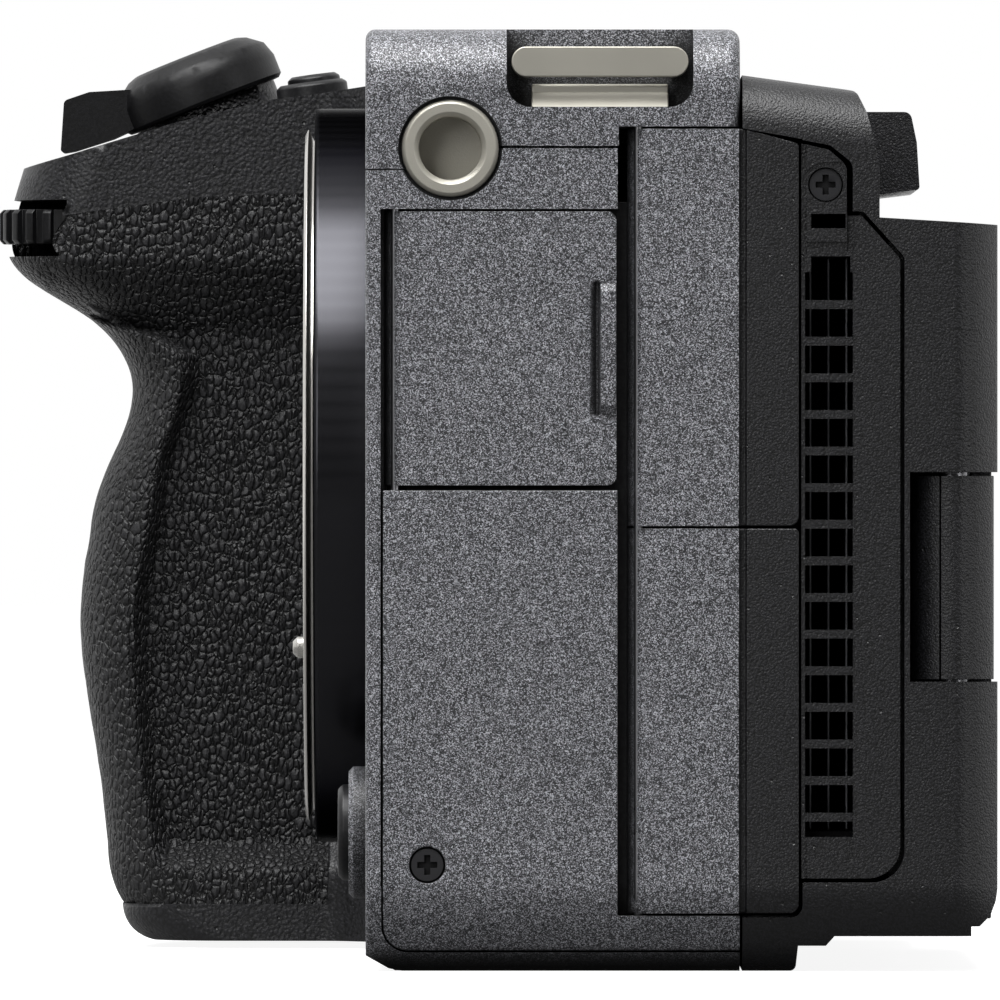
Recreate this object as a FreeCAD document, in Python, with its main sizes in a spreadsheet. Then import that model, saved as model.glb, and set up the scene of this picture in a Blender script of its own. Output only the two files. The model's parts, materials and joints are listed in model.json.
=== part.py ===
"""A compact box-shaped cinema camera body, modelled as the separate pieces it is assembled from.

Frame: millimetres, +Z up, the lens looks along -X and the hand grip is on the +Y side. The origin is
the mouth of the tripod socket, in the middle of the base below the lens axis.
"""
import FreeCAD, Part
import Sketcher
import math
import os
import re

V = FreeCAD.Vector

SIZES = {
    # Main box of the metal body and the black parts round it
    "front": (-17.3, "front face of the metal body"),
    "metal_rear": (13.6, "rear edge of the metal covers"),
    "left": (-46.0, "left side, with the doors"),
    "split": (44.0, "where the metal covers end and the grip side begins"),
    "right": (83.7, "right side of the grip"),
    "top": (77.8, "top plate"),
    "wall": (1.7, "thickness of covers"),
    "seam": (0.2, "gap between neighbouring covers"),
    "foot": (2.0, "top of the base plate's rim"),
    "skirt": (1.55, "top of the metal strip under the side panel"),
    "run_gap": (0.05, "radial clearance of a pin in its bore"),
    # Lens mount
    "lens_z": (41.0, "height of the lens axis"),
    "flange": (-22.8, "front face of the bayonet ring"),
    "surround_front": (-22.05, "front edge of the black ring round the mount"),
    "surround_r": (31.0, "radius of that ring"),
    "mount_ring_r": (29.2, "outer radius of the bayonet ring"),
    "mount_ring_thick": (2.5, "thickness of the bayonet ring"),
    "throat_r": (23.05, "throat radius inside the three bayonet lugs"),
    "lug_root_r": (24.6, "inner radius between the lugs"),
    "lug_thick": (1.2, "thickness of a lug"),
    "lug_span": (52.0, "angle of a lug in degrees"),
    "well_r": (25.0, "radius of the well behind the bayonet"),
    "register": (18.0, "flange to sensor distance"),
    "sensor_wide": (35.6, "image width"),
    "sensor_high": (23.8, "image height"),
    # Top plate fittings
    "seam_low_drop": (11.7, "from the top plate down to the top cover's lower edge at the front"),
    "seam_mid_drop": (9.7, "from the top plate down to its lower edge over the audio door"),
    "door_drop": (8.1, "from the top plate down to its lower edge over the rear doors"),
    "top_round": (5.0, "rounding along the top left edge"),
    "rear_round": (1.0, "rounding along the rear top edge"),
    "shoe_half": (9.3, "half the inner width of the accessory shoe"),
    "shoe_slot": (6.25, "half the opening between the shoe's lips"),
    "shoe_front": (-6.2, "front end of the shoe"),
    "shoe_deep": (3.5, "from the top plate down to the floor of the shoe"),
    "shoe_gap": (2.1, "height of the shoe's slot"),
    "thread_r": (2.6, "quarter-inch thread, measured at its crests"),
    "thread_mouth_r": (3.0, "countersunk mouth of a thread"),
    "insert_r": (4.0, "outer radius of a threaded insert"),
    "insert_long": (5.6, "length of a threaded insert"),
    "side_insert_x": (-10.3, "left insert along the body"),
    "side_insert_drop": (9.9, "from the top plate down to the left insert"),
    "lug_x": (2.05, "middle of a strap eyelet along the body"),
    "lug_long": (14.6, "length of a strap eyelet's bar"),
    "lug_high": (2.5, "height of that bar"),
    "lug_drop": (4.0, "from the top plate down to the left strap bar's underside"),
    "lug_pocket_drop": (6.5, "from the top plate down to the strap pocket's floor"),
    "lug_pocket_deep": (4.8, "depth of the strap pocket"),
    # Left side
    "panel_front": (-15.85, "front edge of the side panel and the audio door"),
    "panel_rear": (3.5, "rear edge of the side panel and the audio door"),
    "panel_head": (39.7, "top edge of the side panel"),
    "band_drop": (14.9, "from the top plate down to the audio door"),
    "door_front": (4.3, "front edge of the two rear doors"),
    "door_rear": (18.45, "rear edge of the two rear doors"),
    "doors_meet": (36.65, "seam between the two rear doors"),
    "door_foot": (4.8, "lower edge of the lower rear door"),
    "door_thick": (1.4, "thickness of a door"),
    "door_nose": (1.25, "rounding along the hinge side of a rear door"),
    "door_pin_r": (0.35, "radius of a door's hinge pin"),
    "tray_deep": (3.5, "depth of the jack tray behind the doors"),
    "vent_rear": (26.8, "rear edge of the vent frame"),
    "vent_gap": (0.35, "gap round the vent frame"),
    "vent_foot": (7.7, "lower edge of the vent frame"),
    "vent_window_front": (18.95, "front edge of the vent window"),
    "vent_window_rear": (22.9, "rear edge of the vent window"),
    "vent_low": (13.1, "underside of the lowest full slot"),
    "vent_pitch": (3.02, "distance between slots"),
    "vent_slot": (2.3, "height of a slot"),
    "vent_count": (15, "number of full slots"),
    # Rear cover, hinge and monitor
    "rear_step": (3.8, "from the top plate down to the rear cover"),
    "brow_drop": (5.1, "from the top plate down to the rear cover's back edge"),
    "brow_round": (4.5, "rounding along the rear cover's top left edge"),
    "rear_face": (25.1, "upper rear face"),
    "shoulder": (62.2, "shelf over the monitor"),
    "bed": (27.6, "face that the monitor folds against"),
    "belly": (2.9, "underside of the rear overhang"),
    "hinge_x": (31.2, "monitor hinge axis, along the body"),
    "hinge_y": (-42.2, "monitor hinge axis, across the body"),
    "cheek_r": (3.8, "rounding of the cheeks about the hinge axis"),
    "hinge_r": (3.4, "radius of the hinge block"),
    "hinge_low": (24.1, "underside of the hinge block"),
    "hinge_high": (40.9, "top of the hinge block"),
    "hinge_pin_r": (1.2, "radius of the hinge pin"),
    "screen_left": (-38.0, "left edge of the monitor"),
    "screen_right": (40.2, "right edge of the monitor"),
    "screen_low": (4.2, "lower edge of the monitor"),
    "screen_high": (61.2, "upper edge of the monitor"),
    "screen_front": (28.0, "side of the monitor against the bed"),
    "screen_back": (34.5, "outer side of the monitor"),
    "deck": (30.6, "rear face of the control panel"),
    "deck_left": (40.8, "left edge of the control panel"),
    # Grip side
    "grip_skin": (1.1, "thickness of the leatherette"),
    "grip_base_low": (0.6, "underside of the grip"),
    "grip_base_high": (3.8, "seam between the grip's foot and the leatherette"),
    "grip_top_front": (67.45, "height of the grip's sloping top at the nose"),
    "grip_top_middle": (71.75, "height of the sloping top under the zoom ring"),
    "grip_top_back": (74.7, "height of the sloping top beside the metal body"),
    "grip_top_flat": (76.0, "flat top behind the slope"),
    "nose": (-48.9, "front of the grip's top cover"),
    "dial_x": (-43.0, "front dial axis"),
    "dial_y": (56.2, "front dial axis, across"),
    "dial_r": (6.9, "front dial radius"),
    "dial_low": (61.2, "underside of the front dial"),
    "dial_thick": (3.0, "thickness of the front dial"),
    "zoom_x": (-32.0, "centre of the zoom ring's underside"),
    "zoom_y": (62.0, "zoom ring, across"),
    "zoom_z": (73.4, "height of the zoom ring's underside"),
    "zoom_tilt": (21.5, "forward tilt of the zoom ring in degrees"),
    "zoom_r": (7.25, "zoom ring radius"),
    "battery_rear": (5.8, "rear of the battery"),
    "battery_long": (38.7, "battery along the body"),
    "battery_y": (52.5, "left side of the battery"),
    "battery_wide": (22.7, "battery across the body"),
    "battery_low": (3.0, "underside of the battery"),
    "battery_high": (54.7, "top of the battery"),
    "card_front": (2.4, "front edge of the card door"),
    "card_rear": (12.9, "rear edge of the card door"),
    "card_low": (18.0, "lower edge of the card door"),
    "card_high": (60.0, "upper edge of the card door"),
    # Buttons and fan
    "button_gap": (0.15, "clearance round a button"),
    "button_rise": (0.5, "how far a button stands proud"),
    "rear_dial_x": (15.5, "rear dial axis along the body"),
    "rear_dial_y": (72.0, "rear dial axis across the body"),
    "rear_dial_r": (6.3, "rear dial radius"),
    "release_z": (11.2, "height of the lens release button"),
    "rear_dial_low": (71.6, "underside of the rear dial"),
    "wheel_y": (63.0, "control wheel across the body"),
    "wheel_z": (34.0, "control wheel height"),
    "wheel_r": (9.0, "control wheel radius"),
    "stick_y": (61.0, "joystick across the body"),
    "stick_z": (54.0, "joystick height"),
    "right_lug_low": (71.0, "underside of the right strap bar"),
    "right_insert_z": (70.3, "height of the right threaded insert"),
    "fan_y": (-8.0, "fan axis across the body"),
    "fan_z": (35.0, "fan axis height"),
    "fan_r": (14.5, "radius over the fan blades"),
    "fan_front": (18.8, "front of the fan rotor"),
    "fan_rear": (24.0, "rear of the fan rotor"),
    "fan_case_high": (60.1, "top of the fan housing"),
    "audio_x": (-6.0, "audio jacks along the body"),
    "audio_z_low": (47.0, "height of the lower audio jack"),
    "audio_z_high": (55.6, "height of the upper audio jack"),
    "port_x": (11.0, "sockets behind the rear doors, along the body"),
    "video_z": (55.5, "height of the video socket"),
    "usb_z": (27.0, "height of the data socket"),
    "multi_z": (14.5, "height of the remote socket"),
}

# Places that follow from the sizes
PLACES = {
    "seam_low": "(top - seam_low_drop)",
    "seam_mid": "(top - seam_mid_drop)",
    "door_head": "(top - door_drop)",
    "band_foot": "(top - band_drop)",
    "side_insert_z": "(top - side_insert_drop)",
    "lug_low": "(top - lug_drop)",
    "lug_pocket_low": "(top - lug_pocket_drop)",
    "shoe_floor": "(top - shoe_deep)",
    "rear_top": "(top - rear_step)",
    "rear_brow": "(top - brow_drop)",
    "battery_x": "(battery_rear - battery_long)",
}

DOC = FreeCAD.newDocument("CinemaCamera")
SHEET = DOC.addObject("Spreadsheet::Sheet", "Sizes")
for row, (alias, (number, meaning)) in enumerate(SIZES.items(), 1):
    SHEET.set(f"A{row}", meaning)
    SHEET.set(f"B{row}", str(number))
    SHEET.setAlias(f"B{row}", alias)
DOC.recompute()

NODES = {}
AXES = {
    "x": V(1, 0, 0), "y": V(0, 1, 0), "z": V(0, 0, 1), "-x": V(-1, 0, 0), "-y": V(0, -1, 0),
    "-z": V(0, 0, -1),
}


def bound(text):
    """The expression with each place worked out and each size's name made a reference to its cell."""
    text = re.sub(r"[a-z][a-z0-9_]*", lambda m: PLACES.get(m[0], m[0]), str(text))
    return re.sub(r"[a-z][a-z0-9_]*", lambda m: f"Sizes.{m[0]}" if m[0] in SIZES else m[0], text)


def val(text):
    """The number that an expression in sizes stands for."""
    return float(SHEET.evalExpression(bound(text)))


def bind(thing, prop, text):
    thing.setExpression(prop, bound(text))


def free_name(label):
    return re.sub(r"[^A-Za-z0-9]", "_", label)


def place(thing, at, rotation=None):
    """Turns a thing and binds its base point to expressions."""
    thing.Placement = FreeCAD.Placement(V(0, 0, 0), rotation or FreeCAD.Rotation())
    for axis, text in zip("xyz", at):
        bind(thing, f"Placement.Base.{axis}", text)


def box(label, x, y, z):
    """A block between two expressions on each axis."""
    made = DOC.addObject("Part::Box", free_name(label))
    for prop, (low, high) in zip(("Length", "Width", "Height"), (x, y, z)):
        bind(made, prop, f"({high}) - ({low})")
    place(made, (x[0], y[0], z[0]))
    return made


def rod(label, at, radius, length, along="z"):
    """A cylinder that starts at a point and runs along a direction."""
    made = DOC.addObject("Part::Cylinder", free_name(label))
    bind(made, "Radius", radius)
    bind(made, "Height", length)
    direction = AXES[along] if isinstance(along, str) else along
    place(made, at, FreeCAD.Rotation(V(0, 0, 1), direction))
    return made


def fuse(label, *parts):
    if len(parts) == 1:
        return parts[0]
    made = DOC.addObject("Part::MultiFuse", free_name(label))
    made.Shapes = list(parts)
    return made


def cut(label, base, *tools):
    made = DOC.addObject("Part::Cut", free_name(label))
    made.Base = base
    made.Tool = fuse(label + "_tools", *tools)
    DOC.recompute()
    return made


def common(label, one, other):
    made = DOC.addObject("Part::Common", free_name(label))
    made.Base = one
    made.Tool = other
    DOC.recompute()
    return made


def group(label, parts):
    """Separate solids kept as one node, such as identical screws."""
    made = DOC.addObject("Part::Compound", free_name(label))
    made.Links = list(parts)
    return made


def origin_feature(body, role):
    return next(f for f in body.Origin.OriginFeatures if f.Role == role)


def sketch(body, plane, corners, offset="0"):
    """A closed outline of straight lines whose corners are bound to expressions."""
    made = body.newObject("Sketcher::SketchObject", free_name(body.Label) + "_sketch")
    made.AttachmentSupport = [(origin_feature(body, plane + "_Plane"), "")]
    made.MapMode = "FlatFace"
    bind(made, "AttachmentOffset.Base.z", offset)
    points = [V(val(c[0]), val(c[1]), 0) for c in corners]
    count = len(points)
    for i in range(count):
        made.addGeometry(Part.LineSegment(points[i], points[(i + 1) % count]), False)
    for i in range(count):
        made.addConstraint(Sketcher.Constraint("Coincident", i, 2, (i + 1) % count, 1))
    for i, corner in enumerate(corners):
        for kind, text, number in (
            ("DistanceX", corner[0], points[i].x), ("DistanceY", corner[1], points[i].y)
        ):
            index = made.addConstraint(Sketcher.Constraint(kind, -1, 1, i, 1, number))
            made.setExpression(f"Constraints[{index}]", bound(text))
    return made


def pick(shape, direction, x=None, y=None, z=None, slack=0.06):
    """Names of the straight edges along an axis whose middle is at the given coordinates."""
    names = []
    for number, edge in enumerate(shape.Edges, 1):
        if len(edge.Vertexes) != 2 or edge.Curve.TypeId != "Part::GeomLine":
            continue
        if abs(abs(edge.tangentAt(edge.FirstParameter).dot(AXES[direction])) - 1) > 1e-4:
            continue
        middle = edge.CenterOfMass
        wanted = ((x, middle.x), (y, middle.y), (z, middle.z))
        if all(w is None or abs(val(w) - m) < slack for w, m in wanted):
            names.append(f"Edge{number}")
    return names


def rounded(label, base, radius, names):
    """Rounds the named edges of a finished shape."""
    made = DOC.addObject("Part::Fillet", free_name(label))
    made.Base = base
    made.Edges = [(int(name[4:]), val(radius), val(radius)) for name in names]
    DOC.recompute()
    return made


def bevelled(label, base, size, names):
    """Bevels the named edges of a finished shape."""
    made = DOC.addObject("Part::Chamfer", free_name(label))
    made.Base = base
    made.Edges = [(int(name[4:]), val(size), val(size)) for name in names]
    DOC.recompute()
    return made


def pad(label, plane, corners, low, high):
    """An outline given a thickness along the plane's axis. A corner's third entry is its radius."""
    body = DOC.addObject("PartDesign::Body", free_name(label))
    # The XZ plane faces -Y, so its offset and span are counted the other way.
    offset = f"-({high})" if plane == "XZ" else low
    outline = sketch(body, plane, corners, offset)
    made = body.newObject("PartDesign::Pad", free_name(label) + "_pad")
    made.Profile = outline
    bind(made, "Length", f"({high}) - ({low})")
    DOC.recompute()
    axis = {"XY": "z", "XZ": "y", "YZ": "x"}[plane]
    for radius in sorted({c[2] for c in corners if len(c) > 2}):
        names = []
        for corner in corners:
            if len(corner) > 2 and corner[2] == radius:
                u, v = corner[:2]
                spot = {"XY": (u, v, None), "XZ": (u, None, v), "YZ": (None, u, v)}[plane]
                names += pick(body.Shape, axis, *spot)
        soft = body.newObject("PartDesign::Fillet", free_name(label) + "_round")
        soft.Base = (made, names)
        bind(soft, "Radius", radius)
        made = body.Tip = soft
        DOC.recompute()
    return body


def turned(label, profile, at=("0", "0", "0"), along="z"):
    """A round piece. The profile is (radius, height) from its base point along its axis."""
    body = DOC.addObject("PartDesign::Body", free_name(label))
    outline = sketch(body, "XZ", profile)
    made = body.newObject("PartDesign::Revolution", free_name(label) + "_turn")
    made.Profile = outline
    made.ReferenceAxis = (origin_feature(body, "Z_Axis"), [""])
    made.Angle = 360
    direction = AXES[along] if isinstance(along, str) else along
    place(body, at, FreeCAD.Rotation(V(0, 0, 1), direction))
    DOC.recompute()
    return body


def ringed(label, body, cutter, count):
    """Repeats a pocket cut in a turned body round its axis."""
    pattern = body.newObject("PartDesign::PolarPattern", free_name(label) + "_ring")
    pattern.Originals = [cutter]
    pattern.Axis = (origin_feature(body, "Z_Axis"), [""])
    pattern.Angle = 360
    pattern.Occurrences = count
    body.Tip = pattern
    DOC.recompute()
    return body


def knurled(label, radius, thick, bore, teeth, depth, at, along, wide="0.25"):
    """A dial with a bevelled rim and notches round it, turning on a pin."""
    rim = "0.35"
    body = turned(
        label,
        [
            (bore, "0"), (f"({radius}) - {rim}", "0"), (radius, rim),
            (radius, f"({thick}) - {rim}"), (f"({radius}) - {rim}", thick), (bore, thick),
        ],
        at, along,
    )
    notch = sketch(
        body, "XY",
        [
            (f"({radius}) - ({depth})", f"-{wide}"), (f"({radius}) + 1", f"-{wide} - 0.3"),
            (f"({radius}) + 1", f"{wide} + 0.3"), (f"({radius}) - ({depth})", wide),
        ],
    )
    groove = body.newObject("PartDesign::Pocket", free_name(label) + "_notch")
    groove.Profile = notch
    groove.Type = 1
    groove.Reversed = True
    body.Tip = groove
    DOC.recompute()
    return ringed(label, body, groove, teeth)


def node(label, thing):
    """Names a finished piece."""
    thing.Label = label
    NODES[label] = thing
    return thing


GATHERED = {}


def gather(label, *parts):
    """Puts pieces of one kind, such as the screws, into one node as separate solids."""
    GATHERED.setdefault(label, []).extend(parts)


def shaped(label, shape):
    """A piece whose form only Part's own functions give."""
    made = DOC.addObject("Part::Feature", free_name(label))
    made.Shape = shape
    return made


# Outlines with arcs, for lofts

def soft_wire(corners, z):
    """A closed wire at a height: straight sides joined by tangent arcs. Corners are (x, y, radius)."""
    count = len(corners)
    joints = []
    for i, (x, y, radius) in enumerate(corners):
        here, last, following = V(x, y, z), V(*corners[i - 1][:2], z), V(
            *corners[(i + 1) % count][:2], z
        )
        to_last, to_next = (last - here).normalize(), (following - here).normalize()
        if radius == 0:
            joints.append((here, None, here))
            continue
        half = math.acos(max(-1.0, min(1.0, to_last.dot(to_next)))) / 2
        reach = radius / math.tan(half)
        middle = here + (to_last + to_next).normalize() * (radius / math.sin(half) - radius)
        joints.append((here + to_last * reach, middle, here + to_next * reach))
    edges = []
    for i, (start, middle, end) in enumerate(joints):
        if middle is not None:
            edges.append(Part.Arc(start, middle, end).toShape())
        edges.append(Part.LineSegment(end, joints[(i + 1) % count][0]).toShape())
    return Part.Wire(edges)


# Lens mount: the black surround, the steel bayonet ring, its contacts, screws and lock pin

def build_lens_mount():
    seat = "front + wall"
    ring_back = "flange + mount_ring_thick"
    pin_y, pin_z, pin_r = "-22.4", "lens_z - 14.4", "0.9"
    surround = turned(
        "surround_turned",
        [
            ("well_r", "0"), ("surround_r", "0"),
            ("surround_r", "front + wall - surround_front - 0.6"),
            ("surround_r - 0.6", "front + wall - surround_front"),
            ("mount_ring_r + 0.15", "front + wall - surround_front"),
            ("mount_ring_r + 0.15", "front + wall - flange - mount_ring_thick"),
            ("well_r", "front + wall - flange - mount_ring_thick"),
        ],
        (seat, "0", "lens_z"), "-x",
    )
    pin_bore = rod("pin_bore", (f"{seat} + 1", pin_y, pin_z), f"{pin_r} + run_gap", "8", "-x")
    screw_spots = [
        (26.9 * math.cos(math.radians(a)), 26.9 * math.sin(math.radians(a)))
        for a in (45, 135, 225, 315)
    ]
    screw_bores = [rod("mount_screw_bore", ("flange + 6.2", f"{y}", f"lens_z + {z}"), "0.85", "6", "-x")
                   for y, z in screw_spots]
    node("lens_surround", cut("lens_surround", surround, pin_bore, *screw_bores))

    ring = turned(
        "bayonet_turned",
        [
            ("lug_root_r", "0"), ("mount_ring_r", "0"), ("mount_ring_r", "mount_ring_thick - 0.4"),
            ("mount_ring_r - 0.4", "mount_ring_thick"), ("lug_root_r", "mount_ring_thick"),
        ],
        (ring_back, "0", "lens_z"), "-x",
    )
    lug_outline = sketch(
        ring, "XZ",
        [
            ("throat_r", "mount_ring_thick - lug_thick"),
            ("lug_root_r + 0.3", "mount_ring_thick - lug_thick"),
            ("lug_root_r + 0.3", "mount_ring_thick"), ("throat_r + 0.25", "mount_ring_thick"),
            ("throat_r", "mount_ring_thick - 0.25"),
        ],
    )
    lug = ring.newObject("PartDesign::Revolution", "bayonet_lug")
    lug.Profile = lug_outline
    lug.ReferenceAxis = (origin_feature(ring, "Z_Axis"), [""])
    bind(lug, "Angle", "lug_span")
    ring.Tip = lug
    DOC.recompute()
    ringed("bayonet_lugs", ring, lug, 3)
    screw_holes = [
        rod("ring_screw_hole", (ring_back, f"{y}", f"lens_z + {z}"), "0.85", "3", "-x")
        for y, z in screw_spots
    ]
    head_seats = [
        rod("ring_head_seat", ("flange + 0.75", f"{y}", f"lens_z + {z}"), "1.65", "1", "-x")
        for y, z in screw_spots
    ]
    pin_hole = rod("ring_pin_hole", (ring_back, pin_y, pin_z), f"{pin_r} + run_gap", "3", "-x")
    node("bayonet_ring", cut("bayonet_ring", ring, pin_hole, *screw_holes, *head_seats))

    screws = [
        screw("mount_screw", ("flange + 0.05", f"{y}", f"lens_z + {z}"), "1.55", "0.8", "5.5", "-x")
        for y, z in screw_spots
    ]
    gather("screws", *screws)

    pin = turned(
        "lock_pin_turned", [("0", "0"), (pin_r, "0"), (pin_r, "8.5"), ("0.5", "8.9"), ("0", "8.9")],
        (f"{seat} + 1", pin_y, pin_z), "-x",
    )
    link = pad(
        "lock_link", "YZ",
        [
            ("-24.9", "lens_z - 12.8"), ("-21.5", "lens_z - 13.6"), ("-21.3", "lens_z - 16.6"),
            ("-24.6", "8.4"), ("-29.4", "8.4"), ("-29.4", "14"),
        ],
        f"{seat} + 0.6", f"{seat} + 1.6",
    )
    node("lens_lock_pin", fuse("lens_lock_pin", pin, link))

    # The contact block fills the bottom of the well, clear of the light path.
    sector = turned("contact_ring", [("19.2", "0"), ("well_r", "0"), ("well_r", "3.2"), ("19.8", "3.2"),
                                     ("19.2", "2.6")], (seat, "0", "lens_z"), "-x")
    keep = pad("contact_keep", "YZ", [("0", "lens_z"), ("-16", "lens_z - 26"), ("16", "lens_z - 26")],
               f"{seat} - 4", f"{seat} + 0.1")
    block = common("contact_sector", sector, keep)
    angles = [270 + (i - 4.5) * 5.6 for i in range(10)]
    spots = [(21.9 * math.cos(math.radians(a)), 21.9 * math.sin(math.radians(a))) for a in angles]
    sockets = [
        rod("contact_socket", (f"{seat} - 2.6", f"{y}", f"lens_z + {z}"), "0.5", "1.2", "-x")
        for y, z in spots
    ]
    gather("contact_block", cut("contact_block_body", block, *sockets))
    pins = [turned("contact_pin", [("0", "0"), ("0.48", "0"), ("0.48", "1.2"), ("0", "1.2")],
                   (f"{seat} - 2.6", f"{y}", f"lens_z + {z}"), "-x") for y, z in spots]
    gather("contact_block", *pins)


def screw(label, at, head_r, shank_r, length, along):
    """A cross-head screw. The point is the middle of the head's outer face; it runs inwards."""
    inward = {"-x": V(1, 0, 0), "-y": V(0, 1, 0), "-z": V(0, 0, 1), "y": V(0, -1, 0)}[along]
    body = turned(label, [("0", "0"), (head_r, "0"), (head_r, "0.7"), (shank_r, "0.7"),
                          (shank_r, length), ("0", length)], at, inward)
    arm = f"{head_r} * 0.62"
    for label_end, long_side, short_side in (("_slot_a", arm, "0.25"), ("_slot_b", "0.25", arm)):
        outline = sketch(
            body, "XY",
            [
                (f"-{long_side}", f"-{short_side}"), (f"{long_side}", f"-{short_side}"),
                (f"{long_side}", f"{short_side}"), (f"-{long_side}", f"{short_side}"),
            ],
        )
        slot = body.newObject("PartDesign::Pocket", free_name(label) + label_end)
        slot.Profile = outline
        slot.Length = 0.45
        slot.Reversed = True
        body.Tip = slot
        DOC.recompute()
    return body


# Inside: chassis, image sensor, boards, heat sink and fan

def build_inside():
    seat = "front + wall"
    floor_top = "foot + 1.6"
    inner_left = "left + wall + tray_deep + 0.2"
    plate = pad(
        "chassis_plate", "YZ",
        [
            (inner_left, "foot"), ("split - wall - 0.3", "foot"), ("split - wall - 0.3", "70", "3"),
            (inner_left, "70", "3"),
        ],
        seat, f"{seat} + 3",
    )
    floor = box(
        "chassis_floor", (f"{seat} + 2.9", "metal_rear - 1"), (inner_left, "split - wall - 0.3"),
        ("foot", floor_top),
    )
    pillars = [
        box(
            "chassis_pillar", (f"{seat} + 2.9", "flange + register - 1.3"), (y0, y1),
            (f"lens_z + {z0}", f"lens_z + {z1}"),
        )
        for y0, y1, z0, z1 in (
            ("21.5", "24", 17.6, 19.4), ("21.5", "24", -19.4, -17.6), ("-24", "-21.5", 17.6, 19.4)
        )
    ]
    frame = fuse("chassis_fused", plate, floor, *pillars)
    throat = rod("chassis_throat", (seat, "0", "lens_z"), "well_r", "3", "x")
    link_room = pad(
        "chassis_link_room", "YZ",
        [
            ("-25.3", "lens_z - 12.2"), ("-21.3", "lens_z - 13.1"), ("-20.9", "lens_z - 16.4"),
            ("-24.2", "7.9"), ("-30", "7.9"), ("-30", "14.4"),
        ],
        f"{seat} - 1", f"{seat} + 4",
    )
    socket_room = rod("chassis_socket_room", ("0", "0", "0"), "insert_r + 2.5", "9", "z")
    button_room = rod("chassis_button_room", (f"{seat} - 1", "-27", "release_z"), "4.4", "1.6", "x")
    insert_room = rod(
        "chassis_insert_room", ("side_insert_x", "left", "side_insert_z"), "insert_r + 0.3", "7",
        "y",
    )
    screw_rooms = [rod("chassis_screw_room", (x, y, "1"), "0.85", "2.4", "z") for x, y in BASE_SCREWS]
    node(
        "chassis",
        cut(
            "chassis", frame, throat, link_room, socket_room, button_room, insert_room, *screw_rooms
        ),
    )

    # The light baffle is a flanged rectangular tube behind the well.
    baffle_back = "flange + register - 2.9"
    disc = rod("baffle_disc", (f"{seat} + 3", "0", "lens_z"), "well_r + 1.4", "1.2", "x")
    tube = box(
        "baffle_tube", (f"{seat} + 3", baffle_back),
        ("-sensor_wide / 2 - 2.6", "sensor_wide / 2 + 2.6"),
        ("lens_z - sensor_high / 2 - 2.6", "lens_z + sensor_high / 2 + 2.6"),
    )
    light = box("baffle_light", (seat, "0"), ("-sensor_wide / 2 - 1.4", "sensor_wide / 2 + 1.4"),
                ("lens_z - sensor_high / 2 - 1.4", "lens_z + sensor_high / 2 + 1.4"))
    node("light_baffle", cut("light_baffle", fuse("baffle_fused", disc, tube), light))

    holder_front = "flange + register - 1.3"
    holder = box(
        "sensor_holder_block", (holder_front, "flange + register + 3.9"), ("-24", "24"),
        ("lens_z - 19.4", "lens_z + 19.4"),
    )
    pocket = box(
        "sensor_pocket", (f"{holder_front} - 1", "flange + register + 0.8"),
        ("-sensor_wide / 2 - 0.8", "sensor_wide / 2 + 0.8"),
        ("lens_z - sensor_high / 2 - 0.8", "lens_z + sensor_high / 2 + 0.8"),
    )
    gather("sensor_stabiliser", cut("sensor_holder", holder, pocket))
    gather(
        "sensor_stabiliser",
        box(
            "image_sensor", ("flange + register", "flange + register + 0.8"),
            ("-sensor_wide / 2", "sensor_wide / 2"),
            ("lens_z - sensor_high / 2", "lens_z + sensor_high / 2"),
        ),
    )
    node(
        "sensor_filter",
        box(
            "sensor_filter", (f"{holder_front} - 1.1", holder_front),
            ("-sensor_wide / 2 - 2.2", "sensor_wide / 2 + 2.2"),
            ("lens_z - sensor_high / 2 - 2.2", "lens_z + sensor_high / 2 + 2.2"),
        ),
    )

    holder_back = "flange + register + 3.9"
    board_front = "4.0"
    posts = [
        rod(
            "board_post", (holder_back, f"{y}", f"lens_z + {z}"), "1.6",
            f"{board_front} - ({holder_back})", "x",
        )
        for y in (-20, 20)
        for z in (-15, 15)
    ]
    gather("main_board", *posts)
    gather(
        "main_board",
        pad(
            "board_sheet", "YZ",
            [
                ("left + 9", "8"), ("split - 5", "8"), ("split - 5", "63", "4"),
                ("left + 9", "63", "4"),
            ],
            board_front, f"{board_front} + 1.4",
        ),
    )
    chips = [
        box(
            "board_chip", (f"{board_front} + 1.4", f"{board_front} + 2.6"), (f"{y}", f"{y + w}"),
            (f"{z}", f"{z + h}"),
        )
        for y, w, z, h in ((-9, 18, 30, 18), (-30, 12, 30, 12), (16, 12, 44, 12), (16, 12, 22, 12))
    ]
    gather("main_board", *chips)

    # Fan housing: a shallow case with a round chamber that opens into a duct behind the vent.
    case_left, case_right = "left + 3.15", "fan_y + fan_r + 3"
    chamber_front, chamber_rear = "fan_front - 0.4", "fan_rear + 0.6"
    case = box(
        "fan_case_block", ("fan_front - 1.6", "fan_rear + 1.8"), (case_left, case_right),
        ("9.6", "fan_case_high"),
    )
    chamber = rod(
        "fan_chamber", (chamber_front, "fan_y", "fan_z"), "fan_r + 1.2",
        f"{chamber_rear} - ({chamber_front})", "x",
    )
    duct = box(
        "fan_duct", (chamber_front, chamber_rear), (f"{case_left} - 1", "fan_y"),
        ("11.6", "fan_case_high - 1.2"),
    )
    duct_end = box(
        "fan_duct_end", (chamber_front, chamber_rear), ("fan_y - 0.1", "fan_y + 8"),
        ("fan_z - 12", "fan_z + 12"),
    )
    inlet = rod("fan_inlet", ("fan_front - 3", "fan_y", "fan_z"), "fan_r - 5", "4", "x")
    spindle = rod(
        "fan_spindle", ("fan_front + 0.6", "fan_y", "fan_z"), "1.5",
        f"{chamber_rear} - fan_front - 0.5", "x",
    )
    node(
        "fan_housing",
        fuse("fan_housing", cut("fan_case_cut", case, chamber, duct, duct_end, inlet), spindle),
    )

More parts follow.
